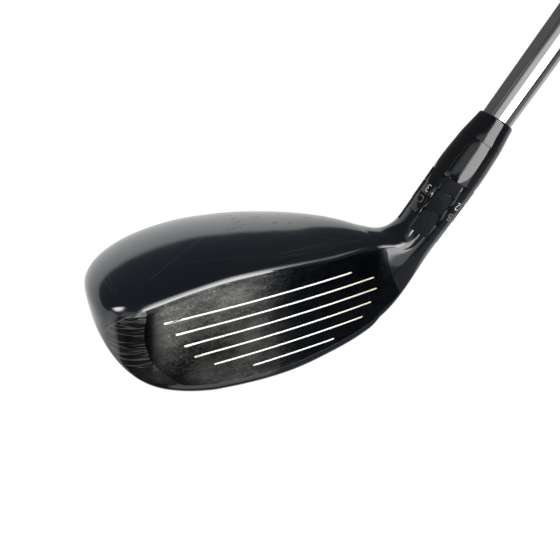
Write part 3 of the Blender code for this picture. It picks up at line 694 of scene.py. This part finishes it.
def steel_material():
    """Machined steel with a turned finish: rings round the piece's own Z."""
    m = Stuff("machined_steel", (0.32, 0.32, 0.33), 0.3, 1.0)
    flat = m.add("ShaderNodeVectorMath", {0: m.place, 1: (1, 1, 0)}, operation="MULTIPLY").outputs[0]
    reach = m.add("ShaderNodeCombineXYZ", {0: m.measure("LENGTH", flat)}).outputs[0]
    rings = m.noise(5200.0, 2.0, place=reach)
    return m.finish(m.remap(rings, 0.3, 0.7), (0.25, 0.25, 0.26), (0.38, 0.38, 0.385),
                    rings, 0.22, 0.4, 0.15, 0.00006)


def matt_material(name, dark, light, roughness, scale, depth):
    """A matt stuff with a grain: rubber, foam, paper tape or ink."""
    m = Stuff(name, light, roughness)
    grain = m.noise(scale, 4.0, 0.6)
    return m.finish(m.remap(grain, 0.35, 0.65), dark, light,
                    grain, roughness - 0.08, roughness + 0.08, 0.5, depth)


# ---- the head ----
FACE_TOE = ((0.0, -33.0), (0.13, -37.1), (0.27, -40.2), (0.5, -41.3), (0.8, -40.8), (0.97, -39.4),
            (1.0, -39.2))                                   # the face's toe edge by band
FACE_HEEL = ((0.0, 38.4), (0.3, 37.6), (0.6, 36.9), (0.84, 36.9), (1.0, 37.2))
FACE_BANDS = (0.03, 1.3)        # past 1 the face's metal goes on round the topline
FACE_DEPTH, FACE_CLEAR = 0.8, 0.03
FACE_CUT_OUT, SCORE_CUT_OUT = 1.5, 0.3          # how far the cutters stand out of the face
HEAD_WALL = 1.8
TIP_PLACE = 41.0                # a sweep position below the hosel's tip
GROOVE_TOP, GROOVE_PITCH = 10.1, 4.0
GROOVE_WIDTH, GROOVE_FLOOR, GROOVE_DEPTH = 0.5, 0.34, 0.25
GROOVE_ENDS = ((-35.5, 22.9), (-34.1, 30.9), (-32.6, 31.8),
               (-29.3, 29.3), (-24.2, 25.7), (-12.9, 14.6))


def skin_places():
    """Sweep positions of the fine skin: closest at the toe, where it turns fastest."""
    toe = [TOE_X + 0.01 + 10 * (i / 28) ** 2 for i in range(28)]
    straight = BEND_END + np.array([0.9, 2.2, 3.5, 4.8, 6.1, 7.5])
    return toe + spread(TOE_X + 10, BEND_X, 74) + spread(BEND_X + 0.8, BEND_END, 28) + list(straight)


def skin_bands():
    parts = [spread(arc, arc + 1, count)[:-1] for arc, count in enumerate((17, 15, 61, 57, 13))]
    return [band for part in parts for band in part]


def face_sheet(name, outer, inner, clear, columns, rows, materials=()):
    """A slab over the face's outline, from one inset to another, clear millimetres inside it."""
    low, high = FACE_BANDS
    shrink = clear / 30.0
    bands = spread(low + shrink, high - shrink, rows)
    grids = [[], []]
    for band in bands:
        start = line(FACE_TOE, band) + clear
        end = line(FACE_HEEL, band) - clear
        for grid, inset in zip(grids, (outer, inner)):
            grid.append([head_ring(x, [band], inset)[0] for x in spread(start, end, columns)])
    bm = bmesh.new()
    slab(bm, *grids)
    return mesh_object(name, bm, materials)


def head_skin(paint):
    """The painted head as one skin over its crown, sole, toe and hosel, with its cavity."""
    skin = swept("head_skin", [head_ring(p, skin_bands()) for p in skin_places()], [paint])
    boolean(skin, face_sheet("face_recess", -FACE_CUT_OUT, FACE_DEPTH, 0.0, 90, 48))

    inside = [head_ring(p, spread(0, 5, 41)[:-1], HEAD_WALL) for p in spread(TOE_X + 0.4, 31.0, 30)]
    cavity = swept("cavity", inside, [paint])
    boolean(cavity, turned("pillar", rod(TUBE_R, -6.0, HOSEL_TOP), [paint], sides=48))
    boolean(cavity, turned("boss", rod(BOSS_R, -3.0, BOSS_DEPTH), [paint], PORT_AT, 48))
    boolean(skin, cavity)

    low, high = -12.0, 60.0             # along the axis, clear of the head at both ends
    drill = [(0, low), (RECESS_R, low), (RECESS_R, SEAT), (BOLT_HOLE_R, SEAT),
             (BOLT_HOLE_R, BORE_FLOOR), (NOSE_BORE_R, BORE_FLOOR), (NOSE_BORE_R, BORE_STEP),
             (BORE_R, BORE_STEP), (BORE_R, TIP_FOOT), (WIDE_R, TIP_FOOT), (WIDE_R, high), (0, high)]
    boolean(skin, turned("hosel_drill", drill, [paint], sides=96, half=True))
    low = -8.0                          # out of the port
    drill = [(0, low), (PORT_R, low), (PORT_R, PORT_DEPTH), (THREAD_R, PORT_DEPTH),
             (THREAD_R, THREAD_DEPTH), (0, THREAD_DEPTH)]
    boolean(skin, turned("port_drill", drill, [paint], PORT_AT, 96, half=True))
    finished(skin, "head", "body_paint", "head_body", "crown_shell")


def score_prism(bm, up, ends, outline):
    """One line's shape: a (half width, depth) outline swept along the face, tapered at its ends."""
    start, end = ends
    xs = [start, start + 0.15, start + 0.4] + spread(start + 1, end - 1, 40) + [end - 0.4, end - 0.15, end]
    rings = []
    for x in xs:
        near_end = min(x - start, end - x)
        narrow = math.sqrt(min(1.0, 0.25 + near_end / 0.55))
        rings.append([face_point(x, up + side * narrow, depth) for side, depth in outline])
    closed_grid(bm, rings)


def face_pieces(metal, fill):
    """The brushed face with its score lines cut in. Their walls and floors wear the fill."""
    face = face_sheet("face_skin", 0.0, FACE_DEPTH - 0.05, FACE_CLEAR, 150, 60, [metal, fill])
    half, floor = GROOVE_WIDTH / 2, GROOVE_FLOOR / 2
    cut = bmesh.new()
    outline = [(-half - 0.1, -SCORE_CUT_OUT), (half + 0.1, -SCORE_CUT_OUT),
               (floor, GROOVE_DEPTH), (-floor, GROOVE_DEPTH)]
    for i, ends in enumerate(GROOVE_ENDS):
        score_prism(cut, GROOVE_TOP - GROOVE_PITCH * i, ends, outline)
    boolean(face, mesh_object("score_cutter", cut, [fill]))
    finished(face, "head", "face_metal", "face_plate")


# ---- the hosel ----
def between_lugs(name, inside, low, high):
    """The tool that leaves four lugs standing from low to high outside a radius."""
    tool = turned(name, tube(inside, WIDE_R + 2.0, low, high), (), sides=96, half=True)
    levels = [(low - 2.0, LUG_WIDTH), (high + 2.0, LUG_WIDTH)]
    boolean(tool, cross(f"{name}_lugs", levels, WIDE_R + 6.0))
    return tool


def pads(piece):
    """Give a hosel piece's second finish to the four pads between its marks: the outer faces
    within an eighth of a turn there."""
    for face in piece.data.polygons:
        turn = math.degrees(math.atan2(face.center.y, face.center.x)) % 90
        if abs(turn - 45) < 22.5 and math.hypot(face.center.x, face.center.y) > (HOSEL_R - 0.3) * MM:
            face.material_index = 1


def hosel_tip(paint, satin):
    """The hosel's end: four notches for the ring's lugs, and satin pads between them."""
    rings = [head_ring(p, skin_bands()) for p in skin_places() if p > TIP_PLACE]
    tip = swept("hosel_tip", rings, [paint, satin])
    boolean(tip, turned("tip_band", tube(BORE_R, WIDE_R, TIP_FOOT, HOSEL_TOP), [paint]), "INTERSECT")
    tip.data.transform(AXIS_AT.inverted() @ HEAD_AT)
    tip.matrix_world = AXIS_AT
    boolean(tip, slots("notches", HOSEL_TOP - NOTCH, HOSEL_TOP))
    chamfer(tip, TIP_FOOT + 1.0)
    pads(tip)
    finished(tip, "head", "hosel_metal", "head_body")


def index_ring(gloss, satin):
    foot = HOSEL_TOP - NOTCH + SEAM
    ring = turned("index_ring_skin", tube(BORE_R, RING_R, foot, RING_TOP), [gloss, satin])
    boolean(ring, between_lugs("ring_foot", 3.0, foot - 3.0, HOSEL_TOP + SEAM))
    boolean(ring, slots("ring_slots", RING_TOP - RING_SLOT, RING_TOP))
    chamfer(ring)
    pads(ring)
    finished(ring, "ring", "hosel_metal", "index_ring")


def adapter_sleeve(gloss, satin):
    """Collar with four lugs, over the spigot that the shaft is glued into and the bolt's nose."""
    lug_foot = RING_TOP - RING_SLOT + SEAM
    sleeve = turned("sleeve_skin", tube(SPIGOT_R - 0.4, RING_R, lug_foot, SLEEVE_TOP), [gloss, satin])
    boolean(sleeve, between_lugs("sleeve_lug", 3.8, lug_foot - 2.0, RING_TOP + SEAM))
    chamfer(sleeve)
    pads(sleeve)
    step, floor = BORE_STEP + PIECE_GAP, SHAFT_FOOT - PIECE_GAP
    core = [(THREAD_HOLE_R, NOSE_FOOT), (NOSE_R, NOSE_FOOT), (NOSE_R, step, 0.1), (SPIGOT_R, step),
            (SPIGOT_R, SLEEVE_TOP + LIP, 0), (SOCKET_R, SLEEVE_TOP + LIP), (SOCKET_R, floor, 0),
            (THREAD_HOLE_R, floor)]
    boolean(sleeve, turned("core", eased(core, 0.3), [gloss], sides=96, half=True), "UNION")
    finished(sleeve, "shaft_assembly", "hosel_metal", "adapter_sleeve")


def marks(name, ink, body, height, characters):
    """Printed characters on the hosel, from the front by quarter turns to the heel. They read
    with the grip away from the reader."""
    bm = bmesh.new()
    for quarter, character in enumerate(characters):
        text = bpy.data.curves.new("mark", "FONT")
        text.body = character
        text.size = MARK_SIZE
        text.align_x = text.align_y = "CENTER"
        text.resolution_u = 6
        text.extrude = 0.5
        holder = linked("mark", text)
        mesh = evaluated_mesh(holder)
        for vert in mesh.vertices:
            x, y, z = vert.co
            radius = RING_R + (MARK_RISE if z > 0 else -0.05)
            vert.co = around(radius, math.radians(90 * quarter - 90) - x / RING_R, height - y)
        bm.from_mesh(mesh)
        bpy.data.objects.remove(holder, do_unlink=True)
    bmesh.ops.remove_doubles(bm, verts=bm.verts, dist=0.0005)
    printed = mesh_object(name, bm, [ink], AXIS_AT)
    finished(printed, body, "hosel_metal")


# ---- bolt and weight ----
def thread(radius, depth, groove, pitch, start, count):
    """The outline of a thread, drawn as plain grooves of one shape without a lead."""
    radii = (radius, radius - depth, radius - depth, radius)
    return [(r, start + i * pitch + h) for i in range(count) for r, h in zip(radii, (0.0, *groove))]


def lobed(name, socket, low, at):
    """A six-lobed driver socket's tool, which reaches in from 2 mm before the screw's face."""
    reach, depth = socket
    rings = [[around(reach * (0.86 + 0.14 * math.cos(6 * turn)), turn, z) for turn in spokes(72)]
             for z in (low - 2.0, low + depth)]
    return swept(name, rings, at=at)


def small_parts(steel):
    """Bolt and weight with their driver sockets."""
    low = SEAT - WASHER - 2 * PIECE_GAP - BOLT_HEAD
    high = low + BOLT_HEAD
    start = BORE_FLOOR + 3.0
    count = int((BOLT_TIP - BOLT_PITCH - start) / BOLT_PITCH)
    outline = [(0, low), (BOLT_HEAD_R, low, 0.4), (BOLT_HEAD_R, high, 0.15), (BOLT_R, high)]
    outline += thread(BOLT_R, BOLT_THREAD, BOLT_GROOVE, BOLT_PITCH, start, count)
    outline += [(BOLT_R, BOLT_TIP - 0.6), (BOLT_R - 0.6, BOLT_TIP), (0, BOLT_TIP)]
    bolt = turned("bolt_skin", eased(outline), [steel], sides=64)
    boolean(bolt, lobed("bolt_drive", BOLT_DRIVE, low, AXIS_AT))
    finished(bolt, "bolt", "screw_steel", "hosel_bolt")

    low, high, wide = WEIGHT_LOW, WEIGHT_HIGH, WEIGHT_HEAD_R
    outline = [(0, low), (wide - 1.3, low, 0.05), (wide - 1.15, low + 0.12), (wide - 0.95, low, 0.05),
               (wide, low, 0.35), (wide, high, 0.15), (WEIGHT_R, high)]
    outline += thread(WEIGHT_R, WEIGHT_THREAD, WEIGHT_GROOVE, WEIGHT_PITCH, high + 1.3, 4)
    outline += [(WEIGHT_R, 8.8), (WEIGHT_R - 0.6, 9.4), (0, 9.4)]
    weight = turned("weight_skin", eased(outline), [steel], PORT_AT, 96)
    boolean(weight, lobed("weight_drive", WEIGHT_DRIVE, low, PORT_AT))
    finished(weight, "weight", "screw_steel", "sole_weight")


# ---- shaft and grip ----
def shaft_radius(along):
    t = (along - TAPER_START) / (TAPER_END - TAPER_START)
    return TIP_R + (BUTT_R - TIP_R) * clamp(t)


def shaft(chrome):
    top = CLUB_LENGTH - CAP - PIECE_GAP
    stations = [SHAFT_FOOT] + spread(SHAFT_FOOT + 2, TAPER_START, 24) + spread(240, top - 1, 78) + [top]
    outer = [(shaft_radius(a), a) for a in stations]
    inner = [(outer[-1][0] - SHAFT_WALL, top), (outer[0][0] - SHAFT_WALL, SHAFT_FOOT)]
    finished(turned("shaft_skin", outer + inner, [chrome], sides=160), "shaft_assembly",
             "shaft_steel", "shaft")


def ferrules(plastic):
    """The collar and the cap, each with a spigot or a socket for its neighbour."""
    low, out = SLEEVE_TOP + GLUE_LINE, COLLAR_SPIGOT_R
    collar = [(SOCKET_R, low + LIP), (SPIGOT_R + GLUE_LINE, low + LIP), (SPIGOT_R + GLUE_LINE, low),
              (7.42, low, 0.12)]
    collar += [(r, low + h) for r, h in ((7.45, 2.0), (7.42, 3.5), (7.35, 5.0), (7.24, 6.8),
                                         (7.1, 8.5), (6.93, 10.4))]
    collar += [(6.75, COLLAR_TOP, 0.1), (out, COLLAR_TOP), (out, COLLAR_TOP + LIP),
               (SOCKET_R, COLLAR_TOP + LIP)]
    low, bore = COLLAR_TOP + GLUE_LINE, SOCKET_R - 0.2
    cap = [(bore, low + LIP), (out + GLUE_LINE, low + LIP), (out + GLUE_LINE, low),
           (6.72, low, 0.1), (6.3, low + 2.6), (6.08, low + 3.9), (5.85, low + 5.2),
           (5.55, FERRULE_TOP - 0.4, 0.2), (5.2, FERRULE_TOP, 0.25), (bore, FERRULE_TOP)]
    for node, outline in (("ferrule_collar", collar), ("ferrule_cap", cap)):
        piece = turned(f"{node}_skin", eased(outline), [plastic], sides=160)
        finished(piece, "shaft_assembly", "ferrule_plastic", node)


def grip_skin_radius(up):
    """The grip's outside, up from its mouth."""
    return line(((0, 8.1), (3, 8.7), (30, 9.0), (90, 9.7), (150, 10.5), (210, 11.4), (240, 12.2),
                 (254, CAP_R), (259, CAP_R)), up)


def grip_groove(up, turn):
    """Depth of the moulded pattern: a diamond lattice of fine grooves between plain bands."""
    for low, high in GRIP_PANELS:
        if low < up < high:
            across, along = turn * LATTICE_AROUND / math.pi, up / LATTICE_PITCH
            aways = [abs((across + lean * along) % 1.0 - 0.5) for lean in (1, -1)]
            depth = max(math.exp(-(away / 0.1) ** 2) for away in aways)
            return LATTICE_DEPTH * depth * min(1.0, min(up - low, high - up) / 1.5)
    for ring in GRIP_RINGS:
        if abs(up - ring) < 1.2:
            return RING_DEPTH * math.exp(-((up - ring) / 0.5) ** 2)
    return 0.0


def grip(rubber):
    foot, top = CLUB_LENGTH - GRIP_LENGTH, CLUB_LENGTH - CAP
    ups = [0.0, 0.4, 1.0] + spread(1.6, 254.0, 505) + [256.0, 257.5, 258.6, 259.0]
    rings = []
    for up in ups:
        skin = grip_skin_radius(up) - (GRIP_LIP if up in (ups[0], ups[-1]) else 0.0)
        rings.append([around(skin - grip_groove(up, turn), turn, foot + up) for turn in spokes(GRIP_SIDES)])
    for along in (top, TAPER_END, 850.0, foot):
        bore = shaft_radius(along) + GRIP_BORE_GAP
        rings.append([around(bore, turn, along) for turn in spokes(GRIP_SIDES)])
    skin = swept("grip_skin", rings, [rubber], AXIS_AT, capped=False)
    skin.data.set_sharp_from_angle(angle=math.radians(60.0))        # its grooves are shaded soft
    finished(skin, "shaft_assembly", "grip_rubber", "grip")


def grip_cap(rubber):
    """The cap, with two ring grooves in its end and a vent hole."""
    low, top = CLUB_LENGTH - CAP + 0.15, CLUB_LENGTH
    outline = [(1.6, low), (CAP_R, low, 0.2), (CAP_R, top - 2.5, 0.6), (CAP_R - 1.2, top - 0.6, 0.8),
               (CAP_R - 3.0, top, 0.5)]
    for outer, inner in ((9.0, 8.0), (5.0, 4.0)):
        floor = top - 0.35
        outline += [(outer, top, 0.1), (outer - 0.2, floor), (inner + 0.2, floor), (inner, top, 0.1)]
    outline.append((1.6, top, 0.3))
    cap = turned("grip_cap_skin", eased(outline), [rubber], sides=128)
    cap.data.transform(cap.matrix_world)        # so that its box is measured square to the world
    cap.matrix_world = Matrix.Identity(4)
    finished(cap, "shaft_assembly", "grip_rubber", "grip_cap")


# ---- camera, floor and light ----
CAMERA_AZIMUTH, CAMERA_ELEVATION, CAMERA_ROLL = 25.9, 39.358, 1.78
CAMERA_AT = (-50.115, -96.118, 121.898)     # in the head's frame
LENS = 32.566
FLOOR_HALF, FLOOR_GAP = 6000.0, 0.2         # half its width, and how far it is under the head


def add_camera():
    az, el, roll = (math.radians(v) for v in (CAMERA_AZIMUTH, CAMERA_ELEVATION, CAMERA_ROLL))
    data = bpy.data.cameras.new("camera")
    data.sensor_width = 36.0
    data.lens = LENS
    data.clip_start = 0.001
    camera = linked("camera", data)
    camera.matrix_world = Matrix.Translation(HEAD + Vector(CAMERA_AT) * MM)
    for angle, axis in ((-az, "Z"), (math.pi / 2 - el, "X"), (roll, "Z")):
        camera.matrix_world = camera.matrix_world @ Matrix.Rotation(angle, 4, axis)
    bpy.context.scene.camera = camera


def glowing(name, colour, strength):
    """A stuff that gives light and reflects none."""
    return Stuff(name, (0.0, 0.0, 0.0), 1.0, Specular_IOR_Level=0.0,
                 Emission_Color=(*colour, 1.0), Emission_Strength=strength)


def add_floor():
    """A plain white floor, lit evenly from itself."""
    bm = bmesh.new()
    bmesh.ops.create_grid(bm, x_segments=1, y_segments=1, size=FLOOR_HALF)
    foot = min(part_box("head_body")[0].z, HEAD.z) - FLOOR_GAP * MM
    floor = mesh_object("floor", bm, [glowing("white_floor", (1.0, 1.0, 1.0), 1.0).made],
                        Matrix.Translation((HEAD.x, HEAD.y, foot)))
    floor.visible_glossy = floor.visible_diffuse = floor.visible_shadow = False


# Parts of the studio as seen from the club, in degrees: from and to azimuth, counted from
# the target side towards the heel, and how soft each of those ends is; the same in elevation;
# how far the light leans to the heel as it rises; and its brightness.
STUDIO = (
    (-34, 15.5, 16, 3, -3, 48, 5, 6, 0.15, 5.4),
    (-34, 15.5, 16, 3, -24, -3, 8, 6, 0.0, 1.0),
    (-24, 36, 28, 30, 47, 62, 7, 22, 0.0, 8.0),
    (4, 56, 20, 20, 45, 58, 5, 22, 0.0, 2.0),
    (-78, -34, 30, 10, 24, 46, 9, 9, 0.0, 0.6),
    (-104.5, -100.5, 2, 2, 30, 42, 4, 4, 0.0, 0.4),
    (-104, -78, 16, 14, -45, 24, 10, 12, 0.0, 0.9),
    (18, 60, 4, 8, -60, -8, 8, 4, 0.0, 0.1),
    (60, 105, 6, 12, -60, -4, 8, 8, 0.0, 0.5),
    (105, 255, 12, 12, -60, 14, 4, 5, 0.0, 0.58),
)
GROUND_SPAN, GROUND_GLOW = (-50, -70), 0.8      # the floor's light, from this angle down
CEILING = 0.1                                   # what the dark room gives
LIGHT_TINT, ROOM_TINT = (1.0, 1.0, 0.985), (0.86, 0.98, 1.15)


def window(n, value, low, high, soft_low, soft_high):
    """1 between two angles in degrees, with soft ends."""
    low, high, soft_low, soft_high = (math.radians(v) for v in (low, high, soft_low / 2, soft_high / 2))
    return n.times(n.remap(value, low - soft_low, low + soft_low),
                   n.remap(value, high - soft_high, high + soft_high, 1.0, 0.0))


def add_studio():
    """Soft lights, a white sweep behind the club and a dark room, by direction."""
    world = bpy.data.worlds.new("studio")
    bpy.context.scene.world = world
    world.use_nodes = True
    n = Nodes(world.node_tree)
    n.tree.nodes.clear()
    x, y, z = n.split(n.add("ShaderNodeTexCoord").outputs["Generated"])
    azimuth = n.maths("ARCTAN2", x, n.times(y, -1.0))
    elevation = n.maths("ARCSINE", z)
    total = n.remap(elevation, *(math.radians(v) for v in GROUND_SPAN), 0.0, GROUND_GLOW)
    for left, right, soft_left, soft_right, low, high, soft_low, soft_high, lean, power in STUDIO:
        middle, half = (left + right) / 2, (right - left) / 2
        off = n.minus(azimuth, math.radians(middle))
        if lean:
            off = n.minus(off, n.times(elevation, lean))
        off = n.add("ShaderNodeMath", {0: off, 1: math.pi, 2: -math.pi}, operation="WRAP").outputs[0]
        inside = n.times(window(n, off, -half, half, soft_left, soft_right),
                         window(n, elevation, low, high, soft_low, soft_high))
        total = n.plus(total, n.times(inside, power))
    seen = n.add("ShaderNodeLightPath").outputs["Is Camera Ray"]
    lit = n.add("ShaderNodeMix", {0: seen, 2: total, 3: 1.0}, data_type="FLOAT").outputs[0]
    room = n.remap(seen, 0.0, 1.0, CEILING, 0.0)
    tint = n.mix(seen, LIGHT_TINT, (1.0, 1.0, 1.0))
    lights = n.add("ShaderNodeBackground", {"Color": tint, "Strength": lit})
    dark = n.add("ShaderNodeBackground", {"Color": (*ROOM_TINT, 1.0), "Strength": room})
    both = n.add("ShaderNodeAddShader", {0: lights.outputs[0], 1: dark.outputs[0]})
    n.add("ShaderNodeOutputWorld", {0: both.outputs[0]})


def before_topline(low, high, heel):
    """The outline of a strip that follows the topline, from the toe to a place at the heel."""
    return ((-50, low - 1.8), (-27, low - 0.5), (heel, low), (heel, high), (-27, high - 0.5),
            (-50, high - 1.8))


# Upright cards before the club, in the head's frame: how far back each stands, its tint and its
# brightness, and its outline from the front. The black ones keep lights off the toe, the crown
# and the hosel, and the bright ones light the topline.
CARDS = (
    ("toe_card", -150, ROOM_TINT, 0.04, (
        (-300, -100), (-25, -100), (-12, -13), (8, -13), (10, -3), (4, 7), (-19, 18), (-42, 29),
        (-42, 95), (-300, 95))),
    ("topline_card", -15, LIGHT_TINT, 2.4, before_topline(33.9, 52.0, 4)),
    ("topline_lamp", -15, LIGHT_TINT, 11.0, before_topline(52.0, 60.0, 9)),
    ("crown_flag", 9.6, ROOM_TINT, CEILING, (
        (-47, 28), (42, 28), (42, 47), (20, 52), (-38, 52), (-47, 44))),
    ("hosel_card", -34, ROOM_TINT, 0.06, ((29, 24), (43.5, 24), (43.5, 40.5), (29, 40.5))),
    ("heel_card", -34, ROOM_TINT, 0.06, ((49.2, 26), (49.5, 20.5), (51.5, 14), (66, 14), (66, 26))),
)
# A grey card close behind the shaft, by its ends along the axis and its sides; and a small lamp
# over the toe, with the radius at which it has faded out.
SHAFT_CARD_BACK, SHAFT_CARD_ENDS, SHAFT_CARD_GLOW = 14.0, (58.0, 420.0), 0.12
SHAFT_CARD_LEFT, SHAFT_CARD_RIGHT = Vector((-70.0, 6.0, 0)), Vector((7.0, 0, 0))
LAMP_AT, LAMP_SIDE, LAMP_UP = (Vector(v) for v in ((-89.0, 20.0, 71.0), (3.6, 19.6, 0.0), (14.4, -2.6, 13.6)))
LAMP_RADIUS, LAMP_GLOW = 19.0, 11.0


def add_card(name, corners, colour, strength, falloff=None):
    """A flat card that only glossy surfaces see, with its corners in the head's frame. A
    falloff of (centre, radius) makes it a lamp that is brightest in the middle."""
    bm = bmesh.new()
    bm.faces.new([bm.verts.new(corner) for corner in corners])
    bmesh.ops.triangulate(bm, faces=bm.faces)
    m = glowing(name, colour, strength)
    if falloff:
        m.feed(Alpha=m.near(*falloff))
    card = mesh_object(name, bm, [m.made])
    card.visible_camera = card.visible_diffuse = card.visible_shadow = False


def add_cards():
    for name, back, colour, strength, outline in CARDS:
        add_card(name, [(x, back, z) for x, z in outline], colour, strength)
    foot = Vector((AXIS_X, AXIS_Y + SHAFT_CARD_BACK, 0))
    low, high = (foot + AXIS_U * end for end in SHAFT_CARD_ENDS)
    left, right = SHAFT_CARD_LEFT, SHAFT_CARD_RIGHT
    add_card("shaft_card", [low + left, low + right, high + right, high + left], LIGHT_TINT, SHAFT_CARD_GLOW)
    corners = [LAMP_AT + i * LAMP_SIDE + j * LAMP_UP for i, j in ((-1, -1), (1, -1), (1, 1), (-1, 1))]
    add_card("toe_lamp", corners, LIGHT_TINT, LAMP_GLOW, (LAMP_AT, LAMP_RADIUS))


def main():
    bpy.context.scene.view_settings.view_transform = "Standard"
    paint, metal, fill = paint_material(), face_material(), score_material()
    satin, gloss = anodised_material(), plastic_material()
    chrome, steel = chrome_material(), steel_material()
    rubber = matt_material("grip_rubber", (0.014, 0.014, 0.015), (0.03, 0.03, 0.031), 0.72, 2200.0, 0.0001)
    head_skin(paint)
    face_pieces(metal, fill)
    hosel_tip(paint, satin)
    index_ring(gloss, satin)
    adapter_sleeve(gloss, satin)
    ink = matt_material("printed_marks", (0.3, 0.3, 0.28), (0.55, 0.55, 0.52), 0.6, 2600.0, 0.00002)
    worn_ink = matt_material("worn_marks", (0.05, 0.05, 0.05), (0.2, 0.2, 0.19), 0.6, 1400.0, 0.00002)
    marks("sleeve_marks", ink, "shaft_assembly", *SLEEVE_MARKS)
    marks("ring_marks", worn_ink, "ring", *RING_MARKS)
    small_parts(steel)
    ferrules(gloss)
    shaft(chrome)
    grip(rubber)
    grip_cap(rubber)
    seal = matt_material("seal_rubber", (0.012, 0.012, 0.012), (0.025, 0.025, 0.025), 0.7, 2600.0, 0.00005)
    foam = matt_material("foam", (0.5, 0.46, 0.34), (0.72, 0.68, 0.52), 0.85, 1800.0, 0.0002)
    tape = matt_material("paper_tape", (0.5, 0.45, 0.33), (0.66, 0.61, 0.47), 0.8, 1500.0, 0.00005)
    kept = {"damping_pad": foam, "tip_plug": foam, "grip_tape": tape, "weight_seal": seal,
            "bolt_retainer": seal, "bolt_washer": steel}
    for name, made in kept.items():
        node = frame["nodes"][name]
        node.data.materials.clear()
        node.data.materials.append(made)
    add_camera()
    add_floor()
    add_cards()
    add_studio()


main()
